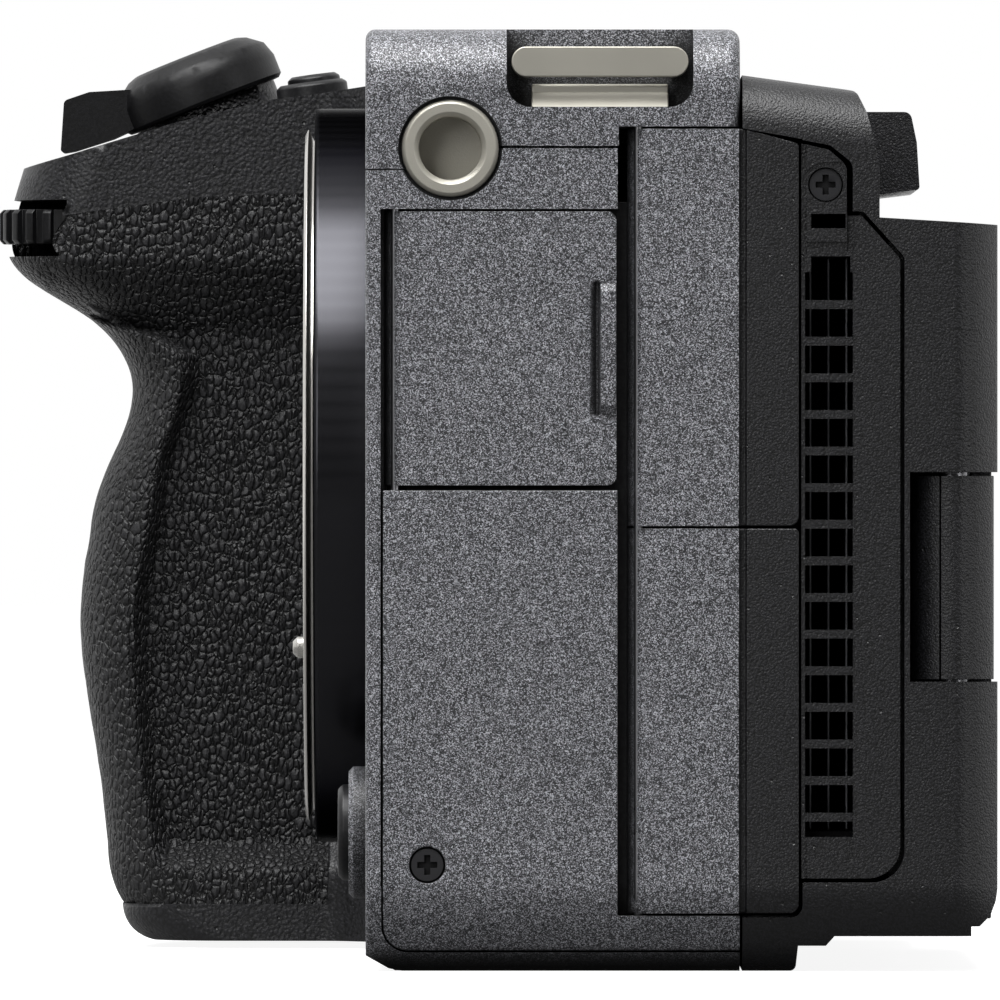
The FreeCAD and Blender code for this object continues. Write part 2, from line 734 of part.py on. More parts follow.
    rotor = turned(
        "fan_rotor",
        [
            ("1.5 + run_gap", "0"), ("5.5", "0"), ("5.5", "fan_rear - fan_front - 1.2"),
            ("fan_r", "fan_rear - fan_front - 1.2"), ("fan_r", "fan_rear - fan_front - 0.4"),
            ("1.5 + run_gap", "fan_rear - fan_front - 0.4"),
        ],
        ("fan_front", "fan_y", "fan_z"), "x",
    )
    blade_outline = sketch(
        rotor, "XY",
        [
            ("5.2", "-0.3"), ("fan_r - 3", "-1.5"), ("fan_r", "-4.1"), ("fan_r - 0.1", "-3.4"),
            ("fan_r - 3.2", "-0.9"), ("5.2", "0.3"),
        ],
    )
    blade = rotor.newObject("PartDesign::Pad", "fan_blade")
    blade.Profile = blade_outline
    bind(blade, "Length", "fan_rear - fan_front - 1.1")
    rotor.Tip = blade
    DOC.recompute()
    node("fan_rotor", ringed("fan_blades", rotor, blade, 13))

    # Heat sink: a plate on the chips that reaches back to the fan case, and upright fins in the duct.
    plate_front = f"{board_front} + 2.6"
    sink = box(
        "sink_plate", (plate_front, f"{plate_front} + 1.6"), ("left + 14", "split - 14"),
        ("16", "60"),
    )
    blocks = [
        box(
            "sink_block", (f"{plate_front} + 1.5", "fan_front - 1.6"), (f"{y}", f"{y + 8}"),
            (z, f"{z} + 6"),
        )
        for y in (-30, 2)
        for z in ("17", "53")
    ]
    gather("heat_sink", fuse("sink_body", sink, *blocks))
    fins = [
        box(
            "duct_fin",
            (f"{chamber_front} + {0.9 + i * 1.5}", f"{chamber_front} + {1.3 + i * 1.5}"),
            ("left + 8", "left + 19"), ("11.6", "fan_case_high - 1.2"),
        )
        for i in range(3)
    ]
    gather("heat_sink", *fins)


# Metal covers and the base

def build_covers():
    insert_mouth = rod(
        "insert_mouth", ("side_insert_x", "left - 1", "side_insert_z"), "insert_r + 0.3", "1.8", "y"
    )
    lens_hole = rod(
        "lens_hole_front", ("front - 2", "0", "lens_z"), "surround_r + 0.15", "wall + 4", "x"
    )
    insert_hole = rod(
        "insert_hole_low", ("side_insert_x", "left - 1", "side_insert_z"), "insert_r + 0.05", "8",
        "y",
    )
    face = box("front_wall", ("front", "front + wall"), ("left", "split"), ("foot", "seam_low"))
    rebate = box(
        "front_rebate", ("panel_front - 0.2", "front + wall + 1"),
        ("left - 1", "left + wall + 0.05"), ("foot - 1", "band_foot"),
    )
    face = cut("front_wall_rebated", face, rebate)
    band = pad(
        "front_band", "XZ",
        [
            ("front", "band_foot"), ("panel_rear", "band_foot"), ("panel_rear", "seam_mid - seam"),
            ("side_insert_x", "seam_mid - seam"), ("side_insert_x", "seam_low"),
            ("front", "seam_low"),
        ],
        "left", "left + wall",
    )
    skirt = pad(
        "front_skirt", "XZ",
        [
            ("front", "1.3"), ("front + 1.9", "0.2"), ("front + 3", "0"), ("metal_rear", "0"),
            ("metal_rear", "skirt"), ("panel_front - 0.15", "skirt", "2.2"),
            ("panel_front - 0.15", "7"), ("front", "7"),
        ],
        "left", "left + wall",
    )
    release_y, release_z = "-27", "release_z"
    boss = turned(
        "release_boss", [("0", "0"), ("5.5", "0"), ("5.5", "1.1"), ("5.1", "1.5"), ("0", "1.5")],
        ("front", release_y, release_z), "-x",
    )
    release_hole = rod(
        "release_hole", ("front + wall + 1", release_y, release_z), "4.0 + button_gap", "wall + 5",
        "-x",
    )
    lamp_hole = box(
        "lamp_hole", ("front - 1", "front + 0.8"), ("split - 9.6", "split - 4.4"), ("57.8", "60.2")
    )
    face, band, skirt = [
        rounded(f"front_edge_{i}", piece, "0.8", pick_now(piece, "z", x="front", y="left"))
        for i, piece in enumerate((face, band, skirt))
    ]
    solid = fuse("front_cover_fused", face, band, boss, skirt)
    node(
        "front_cover",
        cut(
            "front_cover", solid, lens_hole, insert_hole, insert_mouth, release_hole, lamp_hole,
            *door_pin_set("band_pin_seat"),
        ),
    )
    node(
        "front_tally_lamp",
        box(
            "front_tally_lamp", ("front - 0.05", "front + 0.75"), ("split - 9.5", "split - 4.5"),
            ("57.9", "60.1"),
        ),
    )
    button = turned(
        "release_button_turned",
        [
            ("0", "0"), ("1.5", "0"), ("1.5", "1.7"), ("4.0", "1.7"), ("4.0", "4.3"),
            ("3.6", "4.7"), ("0", "4.5"),
        ],
        ("front + wall + 0.6", release_y, release_z), "-x",
    )
    node("lens_release_button", button)

    # Top cover: a shallow box with the strap pocket, the sunken shoe and three threaded inserts.
    outer = box("top_outer", ("front", "metal_rear"), ("left", "split"), ("seam_low", "top"))
    soft = rounded("top_soft", outer, "top_round", pick_now(outer, "x", y="left", z="top"))
    soft = rounded("top_soft_rear", soft, "rear_round", pick_now(soft, "y", x="metal_rear", z="top"))
    soft = rounded("top_soft_front", soft, "0.8", pick_now(soft, "y", x="front", z="top"))
    inner = box(
        "top_inner", ("front + wall", "metal_rear - wall"), ("left + wall + 3.2", "split - wall"),
        ("seam_low - 1", "top - wall"),
    )
    inner_low = box(
        "top_inner_low", ("front + wall", "metal_rear - wall"),
        ("left + wall", "left + wall + 3.3"), ("seam_low - 1", "lug_pocket_low - wall"),
    )
    step_one = box(
        "top_step_one", ("side_insert_x", "panel_rear + 0.2"), ("left - 1", "left + wall + 0.1"),
        ("seam_low - 1", "seam_mid"),
    )
    step_two = box(
        "top_step_two", ("panel_rear + 0.1", "metal_rear + 1"), ("left - 1", "left + wall + 0.1"),
        ("seam_low - 1", "door_head"),
    )
    step_rear = box(
        "top_step_rear", ("metal_rear - wall - 0.1", "metal_rear + 1"), ("left - 1", "split + 1"),
        ("seam_low - 1", "door_head"),
    )
    shoe_well = box(
        "top_shoe_well", ("shoe_front - 2", "metal_rear"), ("-shoe_half - 2.8", "shoe_half + 2.8"),
        ("shoe_floor - 2.2", "top - wall + 0.1"),
    )
    shoe_cut = box(
        "top_shoe_cut", ("shoe_front - 0.2", "metal_rear + 1"),
        ("-shoe_half - 1.15", "shoe_half + 1.15"), ("shoe_floor - 0.5", "top + 1"),
    )
    strap_cut = pad(
        "top_strap_cut", "XZ",
        [
            ("lug_x - lug_long / 2 - 0.4", "lug_pocket_low", "2"),
            ("lug_x + lug_long / 2 + 0.4", "lug_pocket_low", "2"),
            ("lug_x + lug_long / 2 + 0.4", "top + 1"), ("lug_x - lug_long / 2 - 0.4", "top + 1"),
        ],
        "left - 1", "left + lug_pocket_deep",
    )
    insert_cuts = [
        rod(
            "top_insert_cut", (x, y, "top - insert_long"), "insert_r + 0.05", "insert_long + 1", "z"
        )
        for x, y in TOP_THREADS
    ]
    insert_bosses = [
        rod(
            "top_insert_boss", (x, y, "top - insert_long - 0.6"), "insert_r + 1.1",
            "insert_long - 1", "z",
        )
        for x, y in TOP_THREADS
    ]
    shell = cut("top_shell", soft, inner, inner_low)
    shell = fuse("top_shell_fittings", shell, shoe_well, *insert_bosses)
    lens_hole_top = rod(
        "lens_hole_top", ("front - 2", "0", "lens_z"), "surround_r + 0.15", "wall + 2", "x"
    )
    insert_hole_top = rod(
        "insert_hole_top", ("side_insert_x", "left - 1", "side_insert_z"), "insert_r + 0.05", "8",
        "y",
    )
    insert_mouth_top = rod(
        "insert_mouth_top", ("side_insert_x", "left - 1", "side_insert_z"), "insert_r + 0.3", "1.8",
        "y",
    )
    mic_holes = [
        rod("mic_hole", (f"front + {3.4 + i * 1.3}", f"{y}", "top - 1"), "0.4", "2", "z")
        for y in (-7, 7)
        for i in range(3)
    ]
    node(
        "top_cover",
        cut(
            "top_cover", shell, step_one, step_two, step_rear, shoe_cut, strap_cut, lens_hole_top,
            insert_hole_top, insert_mouth_top, *insert_cuts, *mic_holes,
            *door_pin_set("top_pin_seat"),
        ),
    )

    inserts = [threaded_insert("top_insert", (x, y, "top + 0.02"), "z") for x, y in TOP_THREADS]
    gather(
        "thread_inserts", *inserts,
        threaded_insert(
            "left_thread_insert", ("side_insert_x", "left - 0.05", "side_insert_z"), "-y"
        ),
    )

    # The liner is the bright plate that the strap slides over.
    gather("strap_eyelets", *eyelet("left_strap_eyelet", "left", 1, "lug_low"))
    gather(
        "accessory_shoe",
        pad(
            "shoe_rails", "YZ",
            [
                ("-shoe_half - 1", "shoe_floor - 0.5"), ("shoe_half + 1", "shoe_floor - 0.5"),
                ("shoe_half + 1", "shoe_floor + shoe_gap + 1.3", "0.3"),
                ("shoe_slot", "shoe_floor + shoe_gap + 1.3"),
                ("shoe_slot", "shoe_floor + shoe_gap"), ("shoe_half", "shoe_floor + shoe_gap"),
                ("shoe_half", "shoe_floor"), ("-shoe_half", "shoe_floor"),
                ("-shoe_half", "shoe_floor + shoe_gap"), ("-shoe_slot", "shoe_floor + shoe_gap"),
                ("-shoe_slot", "shoe_floor + shoe_gap + 1.3"),
                ("-shoe_half - 1", "shoe_floor + shoe_gap + 1.3", "0.3"),
            ],
            "shoe_front", "metal_rear - 0.4",
        ),
    )
    gather(
        "accessory_shoe",
        pad(
            "shoe_contacts", "XZ",
            [
                ("shoe_front + 0.1", "shoe_floor"), ("shoe_front + 2.8", "shoe_floor"),
                ("shoe_front + 2.1", "shoe_floor + 1.5"), ("shoe_front + 0.1", "shoe_floor + 1.5"),
            ],
            "-7", "7",
        ),
    )

    # Side panel under the audio door, with a foot below the rear doors.
    panel = pad(
        "side_panel_pad", "XZ",
        [
            ("panel_front", "skirt + 0.15", "2.05"), ("metal_rear", "skirt + 0.15"),
            ("metal_rear", "door_foot - seam"), ("panel_rear", "door_foot - seam"),
            ("panel_rear", "panel_head"), ("panel_front", "panel_head"),
        ],
        "left", "left + wall",
    )
    screw_well = rod("panel_screw_well", ("-12.2", "left - 0.1", "8.8"), "1.5", "0.9", "y")
    screw_hole = rod("panel_screw_hole", ("-12.2", "left - 0.1", "8.8"), "0.85", "4", "y")
    node(
        "side_panel",
        cut("side_panel", panel, screw_well, screw_hole, *door_pin_set("panel_pin_seat")),
    )

    # Base plate: closes the metal body from below and holds the tripod socket.
    base = pad(
        "base_outline", "XZ",
        [
            ("front + 2.4", "0"), ("metal_rear", "0"), ("metal_rear", "foot - 0.05"),
            ("front", "foot - 0.05"), ("front", "1.6"),
        ],
        "left + wall + 0.05", "split",
    )
    base_edge = bevelled("base_edge", base, "0.9", pick_now(base, "x", y="split", z="0"))
    socket_cut = rod("socket_cut", ("0", "0", "-1"), "insert_r + 1.55", "4", "z")
    base_wells = [rod("base_screw_well", (x, y, "-0.1"), "1.75", "0.85", "z") for x, y in BASE_SCREWS]
    base_holes = [rod("base_screw_hole", (x, y, "-0.1"), "0.85", "4", "z") for x, y in BASE_SCREWS]
    pin_hole = rod("base_guide_hole", ("-9", "0", "-0.1"), "1.6", "1.4", "z")
    node("base_plate", cut("base_plate", base_edge, socket_cut, pin_hole, *base_wells, *base_holes))
    socket = turned(
        "tripod_turned",
        [
            ("thread_r", "0"), ("insert_r + 1.5", "0"), ("insert_r + 1.5", "foot + 4.6"),
            ("0", "foot + 4.6"), ("0", "foot + 3.2"), ("thread_r", "foot + 3.2"),
        ],
    )
    gather("thread_inserts", socket)

    base_set = [screw("base_screw", (x, y, "0.05"), "1.55", "0.8", "3.2", "-z") for x, y in BASE_SCREWS]
    gather("screws", *base_set)
    side_set = [screw("panel_screw", ("-12.2", "left + 0.1", "8.8"), "1.33", "0.8", "4.2", "-y"),
                screw("vent_screw", ("20.65", "left + 0.5", "64.9"), "1.33", "0.8", "4.0", "-y")]
    gather("screws", *side_set)


AUDIO_PIN = ("panel_front + 1", "left + 0.78")
REAR_PIN = ("door_front + 0.9", "left + 0.78")


def door_pin_set(label):
    """The hinge pins of the side doors, and the same rods as seats for their ends."""
    return [
        rod(label, (*AUDIO_PIN, "panel_head - 1"), "door_pin_r", "band_foot - panel_head + 2", "z"),
        rod(
            label, (*REAR_PIN, "door_foot - seam - 1"), "door_pin_r",
            "door_head - door_foot + seam + 2", "z",
        ),
    ]


TOP_THREADS = (("-10", "-27"), ("-10", "27"), ("6.5", "34"))
BASE_SCREWS = (("-11", "-36"), ("9", "-36"), ("-11", "36"), ("9", "36"))


def pick_now(thing, direction, **where):
    """Edges of a thing that may not have been computed yet."""
    DOC.recompute()
    return pick(thing.Shape, direction, **where)


def threaded_insert(label, at, along):
    """A steel bush with a quarter-inch thread. The point is the middle of its mouth."""
    inward = AXES[{"z": "-z", "-y": "y", "y": "-y"}[along]]
    return turned(
        label,
        [
            ("thread_mouth_r", "0"), ("insert_r - 0.3", "0"), ("insert_r", "0.3"),
            ("insert_r", "insert_long"), ("0", "insert_long"), ("0", "insert_long - 0.8"),
            ("thread_r", "insert_long - 0.8"), ("thread_r", "thread_mouth_r - thread_r"),
        ],
        at, inward,
    )


def eyelet(label, side, sign, low):
    """A strap bar with two legs that run into the pocket's wall, and the bright plate under it."""
    skin = f"{side} + {0.3 * sign}"
    back = f"{side} + {sign} * lug_pocket_deep"
    low_y, high_y = (skin, back) if sign > 0 else (back, skin)
    bar = pad(
        label + "_bar", "XZ",
        [
            ("lug_x - lug_long / 2", low, "lug_high / 2 - 0.02"),
            ("lug_x + lug_long / 2", low, "lug_high / 2 - 0.02"),
            ("lug_x + lug_long / 2", f"{low} + lug_high", "lug_high / 2 - 0.02"),
            ("lug_x - lug_long / 2", f"{low} + lug_high", "lug_high / 2 - 0.02"),
        ],
        low_y, high_y,
    )
    gap_low, gap_high = (
        f"{skin} + 1.4", f"{back} + 1"
    ) if sign > 0 else (f"{back} - 1", f"{skin} - 1.4")
    gap = box(
        label + "_gap", ("lug_x - lug_long / 2 + 1.5", "lug_x + lug_long / 2 - 1.5"),
        (gap_low, gap_high), (f"{low} - 1", f"{low} + lug_high + 1"),
    )
    floor = f"{low} - lug_low + lug_pocket_low"
    plate = pad(
        label + "_plate", "YZ",
        [
            (f"{side} + {0.4 * sign}", floor), (f"{side} + {1.8 * sign}", f"{floor} + 1.15"),
            (f"{side} + {2.1 * sign}", f"{floor} + 1.2"),
            (f"{side} + {2.1 * sign}", f"{floor} + 1.95", "0.3"), (back, f"{floor} + 1.95"),
            (back, floor),
        ],
        "lug_x - lug_long / 2 + 1.65", "lug_x + lug_long / 2 - 1.65",
    )
    return [cut(label + "_loop", bar, gap), plate]


# Left side: jack tray, doors and vent frame

def build_left_side():
    tray_y = ("left + wall", "left + wall + tray_deep")
    tray = pad(
        "tray_block", "XZ",
        [
            ("front + wall + 0.05", "foot + 0.4"), ("metal_rear - 0.1", "foot + 0.4"),
            ("metal_rear - 0.1", "belly + wall + 0.1"), ("fan_front - 1.7", "belly + wall + 0.1"),
            ("fan_front - 1.7", "door_head - 1.5"), ("metal_rear - 0.1", "door_head - 0.6"),
            ("panel_rear + 1", "door_head - 0.6"), ("panel_rear + 1", "band_foot + 0.6"),
            ("front + wall + 0.05", "band_foot + 0.6"),
        ],
        *tray_y,
    )
    deep = "left + wall + tray_deep - 1.7"
    audio_pocket = box(
        "audio_pocket", ("panel_front + 2.2", "panel_rear - 1"), ("left", deep),
        ("panel_head + 1.6", "band_foot - 1.6"),
    )
    rear_pocket = box(
        "rear_pocket", ("door_front + 2", "fan_front - 2.9"), ("left", deep),
        ("door_foot + 1.4", "door_head - 2.6"),
    )
    jack_holes = [
        rod("jack_hole", ("audio_x", "left", z), "3.05", "9", "y")
        for z in ("audio_z_low", "audio_z_high")
    ]
    video_hole = box(
        "video_hole", ("port_x - 3.05", "port_x + 3.05"), ("left", "left + 9"),
        ("video_z - 7.75", "video_z + 7.75"),
    )
    usb_hole = box(
        "usb_hole", ("port_x - 2.05", "port_x + 2.05"), ("left", "left + 9"),
        ("usb_z - 4.85", "usb_z + 4.85"),
    )
    multi_hole = box(
        "multi_hole", ("port_x - 2.05", "port_x + 2.05"), ("left", "left + 9"),
        ("multi_z - 4.35", "multi_z + 4.35"),
    )
    nose_rooms = [
        rod(
            "tray_nose_room", (*REAR_PIN, "door_foot - seam"), "door_nose + 0.05",
            "door_head - door_foot", "z",
        ),
        rod(
            "tray_nose_room", (*AUDIO_PIN, "panel_head"), "door_nose + 0.05",
            "band_foot - panel_head", "z",
        ),
    ]
    screw_room = rod("tray_screw_room", ("-12.2", "left", "8.8"), "0.85", "4.4", "y")
    node(
        "jack_tray",
        cut(
            "jack_tray", tray, audio_pocket, rear_pocket, video_hole, usb_hole, multi_hole,
            screw_room, *nose_rooms, *jack_holes,
        ),
    )

    mouth = "left + wall + tray_deep - 2.0"
    jacks = [
        turned(
            "audio_jack",
            [("1.8", "0"), ("3.0", "0"), ("3.0", "13"), ("0", "13"), ("0", "12"), ("1.8", "12")],
            ("audio_x", mouth, z), "y",
        )
        for z in ("audio_z_low", "audio_z_high")
    ]
    gather("jack_sockets", *jacks)
    gather("jack_sockets", port("video_socket", mouth, "video_z", 6.0, 15.4, 0.6, 10.6, 1.2, 11.0))
    gather("jack_sockets", port("usb_socket", mouth, "usb_z", 4.0, 9.6, 0.5, 7.0, 0.7, 6.4))
    gather("jack_sockets", port("multi_socket", mouth, "multi_z", 4.0, 8.6, 0.5, 6.0, 0.8, 5.6))

    # Each door turns on a pin through the rounded nose along its front edge.
    half_y = "left + door_thick / 2"
    front, rear = "panel_front + 0.1", "panel_rear - 0.1"
    low, high = "panel_head + 0.4", "band_foot - seam"
    nose = door_nose("audio_door_nose", front, low, high)
    leaf = pad(
        "audio_door_leaf", "XZ",
        [
            (f"{front} + door_thick", low), (rear, low, "0.8"), (rear, high, "0.8"),
            (f"{front} + door_thick", high),
        ],
        "left", "left + door_thick",
    )
    lip = pad(
        "audio_door_lip", "YZ",
        [
            ("left + 0.2", "lens_z + 4.8"), ("left - 0.55", "lens_z + 5.7", "0.3"),
            ("left - 0.55", "lens_z + 15.1", "0.3"), ("left + 0.2", "lens_z + 16"),
        ],
        "panel_rear - 1.4", "panel_rear - 0.15",
    )
    bore = rod(
        "audio_door_bore", (*AUDIO_PIN, f"{low} - 1"), "door_pin_r + run_gap",
        f"({high}) - ({low}) + 2", "z",
    )
    node("audio_door", cut("audio_door", fuse("audio_door_fused", nose, leaf, lip), bore))
    for name, low, high, slope in (
        ("video_door", "doors_meet + 0.1", "door_head - seam", "1.2"),
        ("data_door", "door_foot", "doors_meet - 0.1", "0"),
    ):
        nose = door_nose(name + "_nose", "door_front", low, high)
        leaf = box(
            name + "_leaf", ("door_front + door_thick", "metal_rear - 0.1"), ("left", half_y),
            (low, high),
        )
        solid = fuse(name + "_fused", nose, leaf)
        bore = rod(
            name + "_bore", (*REAR_PIN, f"{low} - 1"), "door_pin_r + run_gap",
            f"({high}) - ({low}) + 2", "z",
        )
        node(name, cut(name, solid, bore))
        under = pad(
            name + "_under", "XZ",
            [
                ("door_front + door_thick + 0.1", low), ("door_rear", low, "0.8"),
                ("door_rear", f"{high} - {slope}", "0.4"), ("metal_rear + 0.5", high),
                ("door_front + door_thick + 0.1", high),
            ],
            half_y, "left + door_thick",
        )
        strip = pad(
            name + "_strip", "XZ",
            [
                ("metal_rear + 0.5", low), ("door_rear", low, "0.8"),
                ("door_rear", f"{high} - {slope}", "0.4"), ("metal_rear + 0.5", high),
            ],
            "left + 0.1", half_y,
        )
        node(name + "_liner", fuse(name + "_liner", under, strip))
    gather("hinge_pins", *door_pin_set("door_pin"))
    build_vent()


def door_nose(label, front, low, high):
    """The rounded front edge of a side door, which its pin goes through."""
    back = f"{front} + door_thick + 0.05"
    return pad(
        label, "XY",
        [
            (front, "left", "door_nose"), (back, "left"), (back, "left + door_thick"),
            (front, "left + door_thick", "0.1"),
        ],
        low, high,
    )


def port(label, mouth, height, wide, tall, wall, deep, tongue_wide, tongue_tall):
    """A socket shell open towards the left, with its tongue."""
    x, z = "port_x", height
    shell = box(
        label + "_shell", (f"{x} - {wide / 2}", f"{x} + {wide / 2}"), (mouth, f"{mouth} + {deep}"),
        (f"{z} - {tall / 2}", f"{z} + {tall / 2}"),
    )
    room = box(
        label + "_room", (f"{x} - {wide / 2 - wall}", f"{x} + {wide / 2 - wall}"),
        (f"{mouth} - 1", f"{mouth} + {deep - 1}"),
        (f"{z} - {tall / 2 - wall}", f"{z} + {tall / 2 - wall}"),
    )
    tongue = box(
        label + "_tongue", (f"{x} - {tongue_wide / 2}", f"{x} + {tongue_wide / 2}"),
        (f"{mouth} + 1.5", f"{mouth} + {deep - 0.5}"),
        (f"{z} - {tongue_tall / 2}", f"{z} + {tongue_tall / 2}"),
    )
    return fuse(label, cut(label + "_cup", shell, room), tongue)


def build_vent():
    x0 = "door_rear + seam"
    outline = vent_outline("0")
    frame = pad("vent_outline", "XZ", outline, "left + 0.2", "left + 3")
    window = ("vent_window_front", "vent_window_rear")
    through = ("left - 1", "left + 4")
    slots = [
        box(
            "vent_slot", window, through,
            (f"vent_low + {i} * vent_pitch", f"vent_low + {i} * vent_pitch + vent_slot"),
        )
        for i in range(int(SIZES["vent_count"][0]))
    ]
    slots += [
        box("vent_slot_low", window, through, ("vent_low - 2.0", "vent_low - 0.72")),
        box(
            "vent_slot_high", ("vent_window_front + 0.5", "vent_window_rear - 0.6"), through,
            ("61.3", "62.5"),
        ),
        box(
            "vent_notch", ("vent_window_front + 0.5", "vent_window_rear - 0.2"), through,
            ("vent_low + (vent_count - 1) * vent_pitch", "59.0"),
        ),
        box(
            "vent_groove", ("vent_window_rear - 0.5", "vent_window_rear + 0.15"),
            ("left", "left + 0.7"), ("59.4", "68"),
        ),
    ]
    well = rod("vent_screw_well", ("20.65", "left", "64.9"), "1.45", "1.2", "y")
    hole = rod("vent_screw_hole", ("20.65", "left", "64.9"), "0.85", "4", "y")
    seat = rod("vent_screw_seat", ("20.65", "left", "64.9"), "1.87", "0.35", "y")
    seat_end = box(
        "vent_seat_end", ("20.65", "24"), ("left", "left + 0.35"), ("64.9 - 1.87", "64.9 + 1.87")
    )
    step = box(
        "vent_step", (f"{x0} - 1", "vent_window_rear + 0.05"), ("left", "left + 0.45"),
        ("vent_foot + 1.5", "60.2"),
    )
    edge = box(
        "vent_edge", (f"{x0} - 1", "door_rear + 0.65"), ("left", "left + 0.6"), ("0", "door_head")
    )
    node("vent_frame", cut("vent_frame", frame, well, hole, seat, seat_end, step, edge, *slots))


def vent_outline(grow):
    """The outline of the vent frame, or of the opening for it."""
    x0 = f"door_rear + seam - {grow}"
    return [
        (x0, f"68.3 + {grow}"), (f"20.9 + 0.3 * {grow}", f"67.8 + {grow}", "1.0"),
        (f"22.4 + 1.4 * {grow}", f"66.5 + 0.5 * {grow}", "1.2"),
        (f"22.4 + 1.4 * {grow}", f"62.35 + {grow}"),
        (f"23.6 + 0.4 * {grow}", f"62.35 + {grow}", "0.6"),
        (f"vent_rear + {grow}", f"58.8 + 0.4 * {grow}", "0.8"),
        (f"vent_rear + {grow}", f"vent_foot - {grow}", "2.7"), (x0, f"vent_foot - {grow}"),
    ]


# Rear cover with its cheeks, control deck and thumb rest

def brow_tool():
    """What the rounding along the rear cover's top left edge takes away."""
    radius, left = val("brow_round"), val("left")
    start = V(val("metal_rear"), left, val("rear_top"))
    along = V(23.2 - val("metal_rear"), 0, val("rear_brow") - val("rear_top"))
    tilt = FreeCAD.Rotation(V(1, 0, 0), along)
    block = Part.makeBox(20, radius + 1, radius + 1, V(-2, -1, -radius))
    bar = Part.makeCylinder(radius, 24, V(-4, radius, -radius), V(1, 0, 0))
    tool = block.cut(bar)
    tool.Placement = FreeCAD.Placement(start, tilt)
    return tool


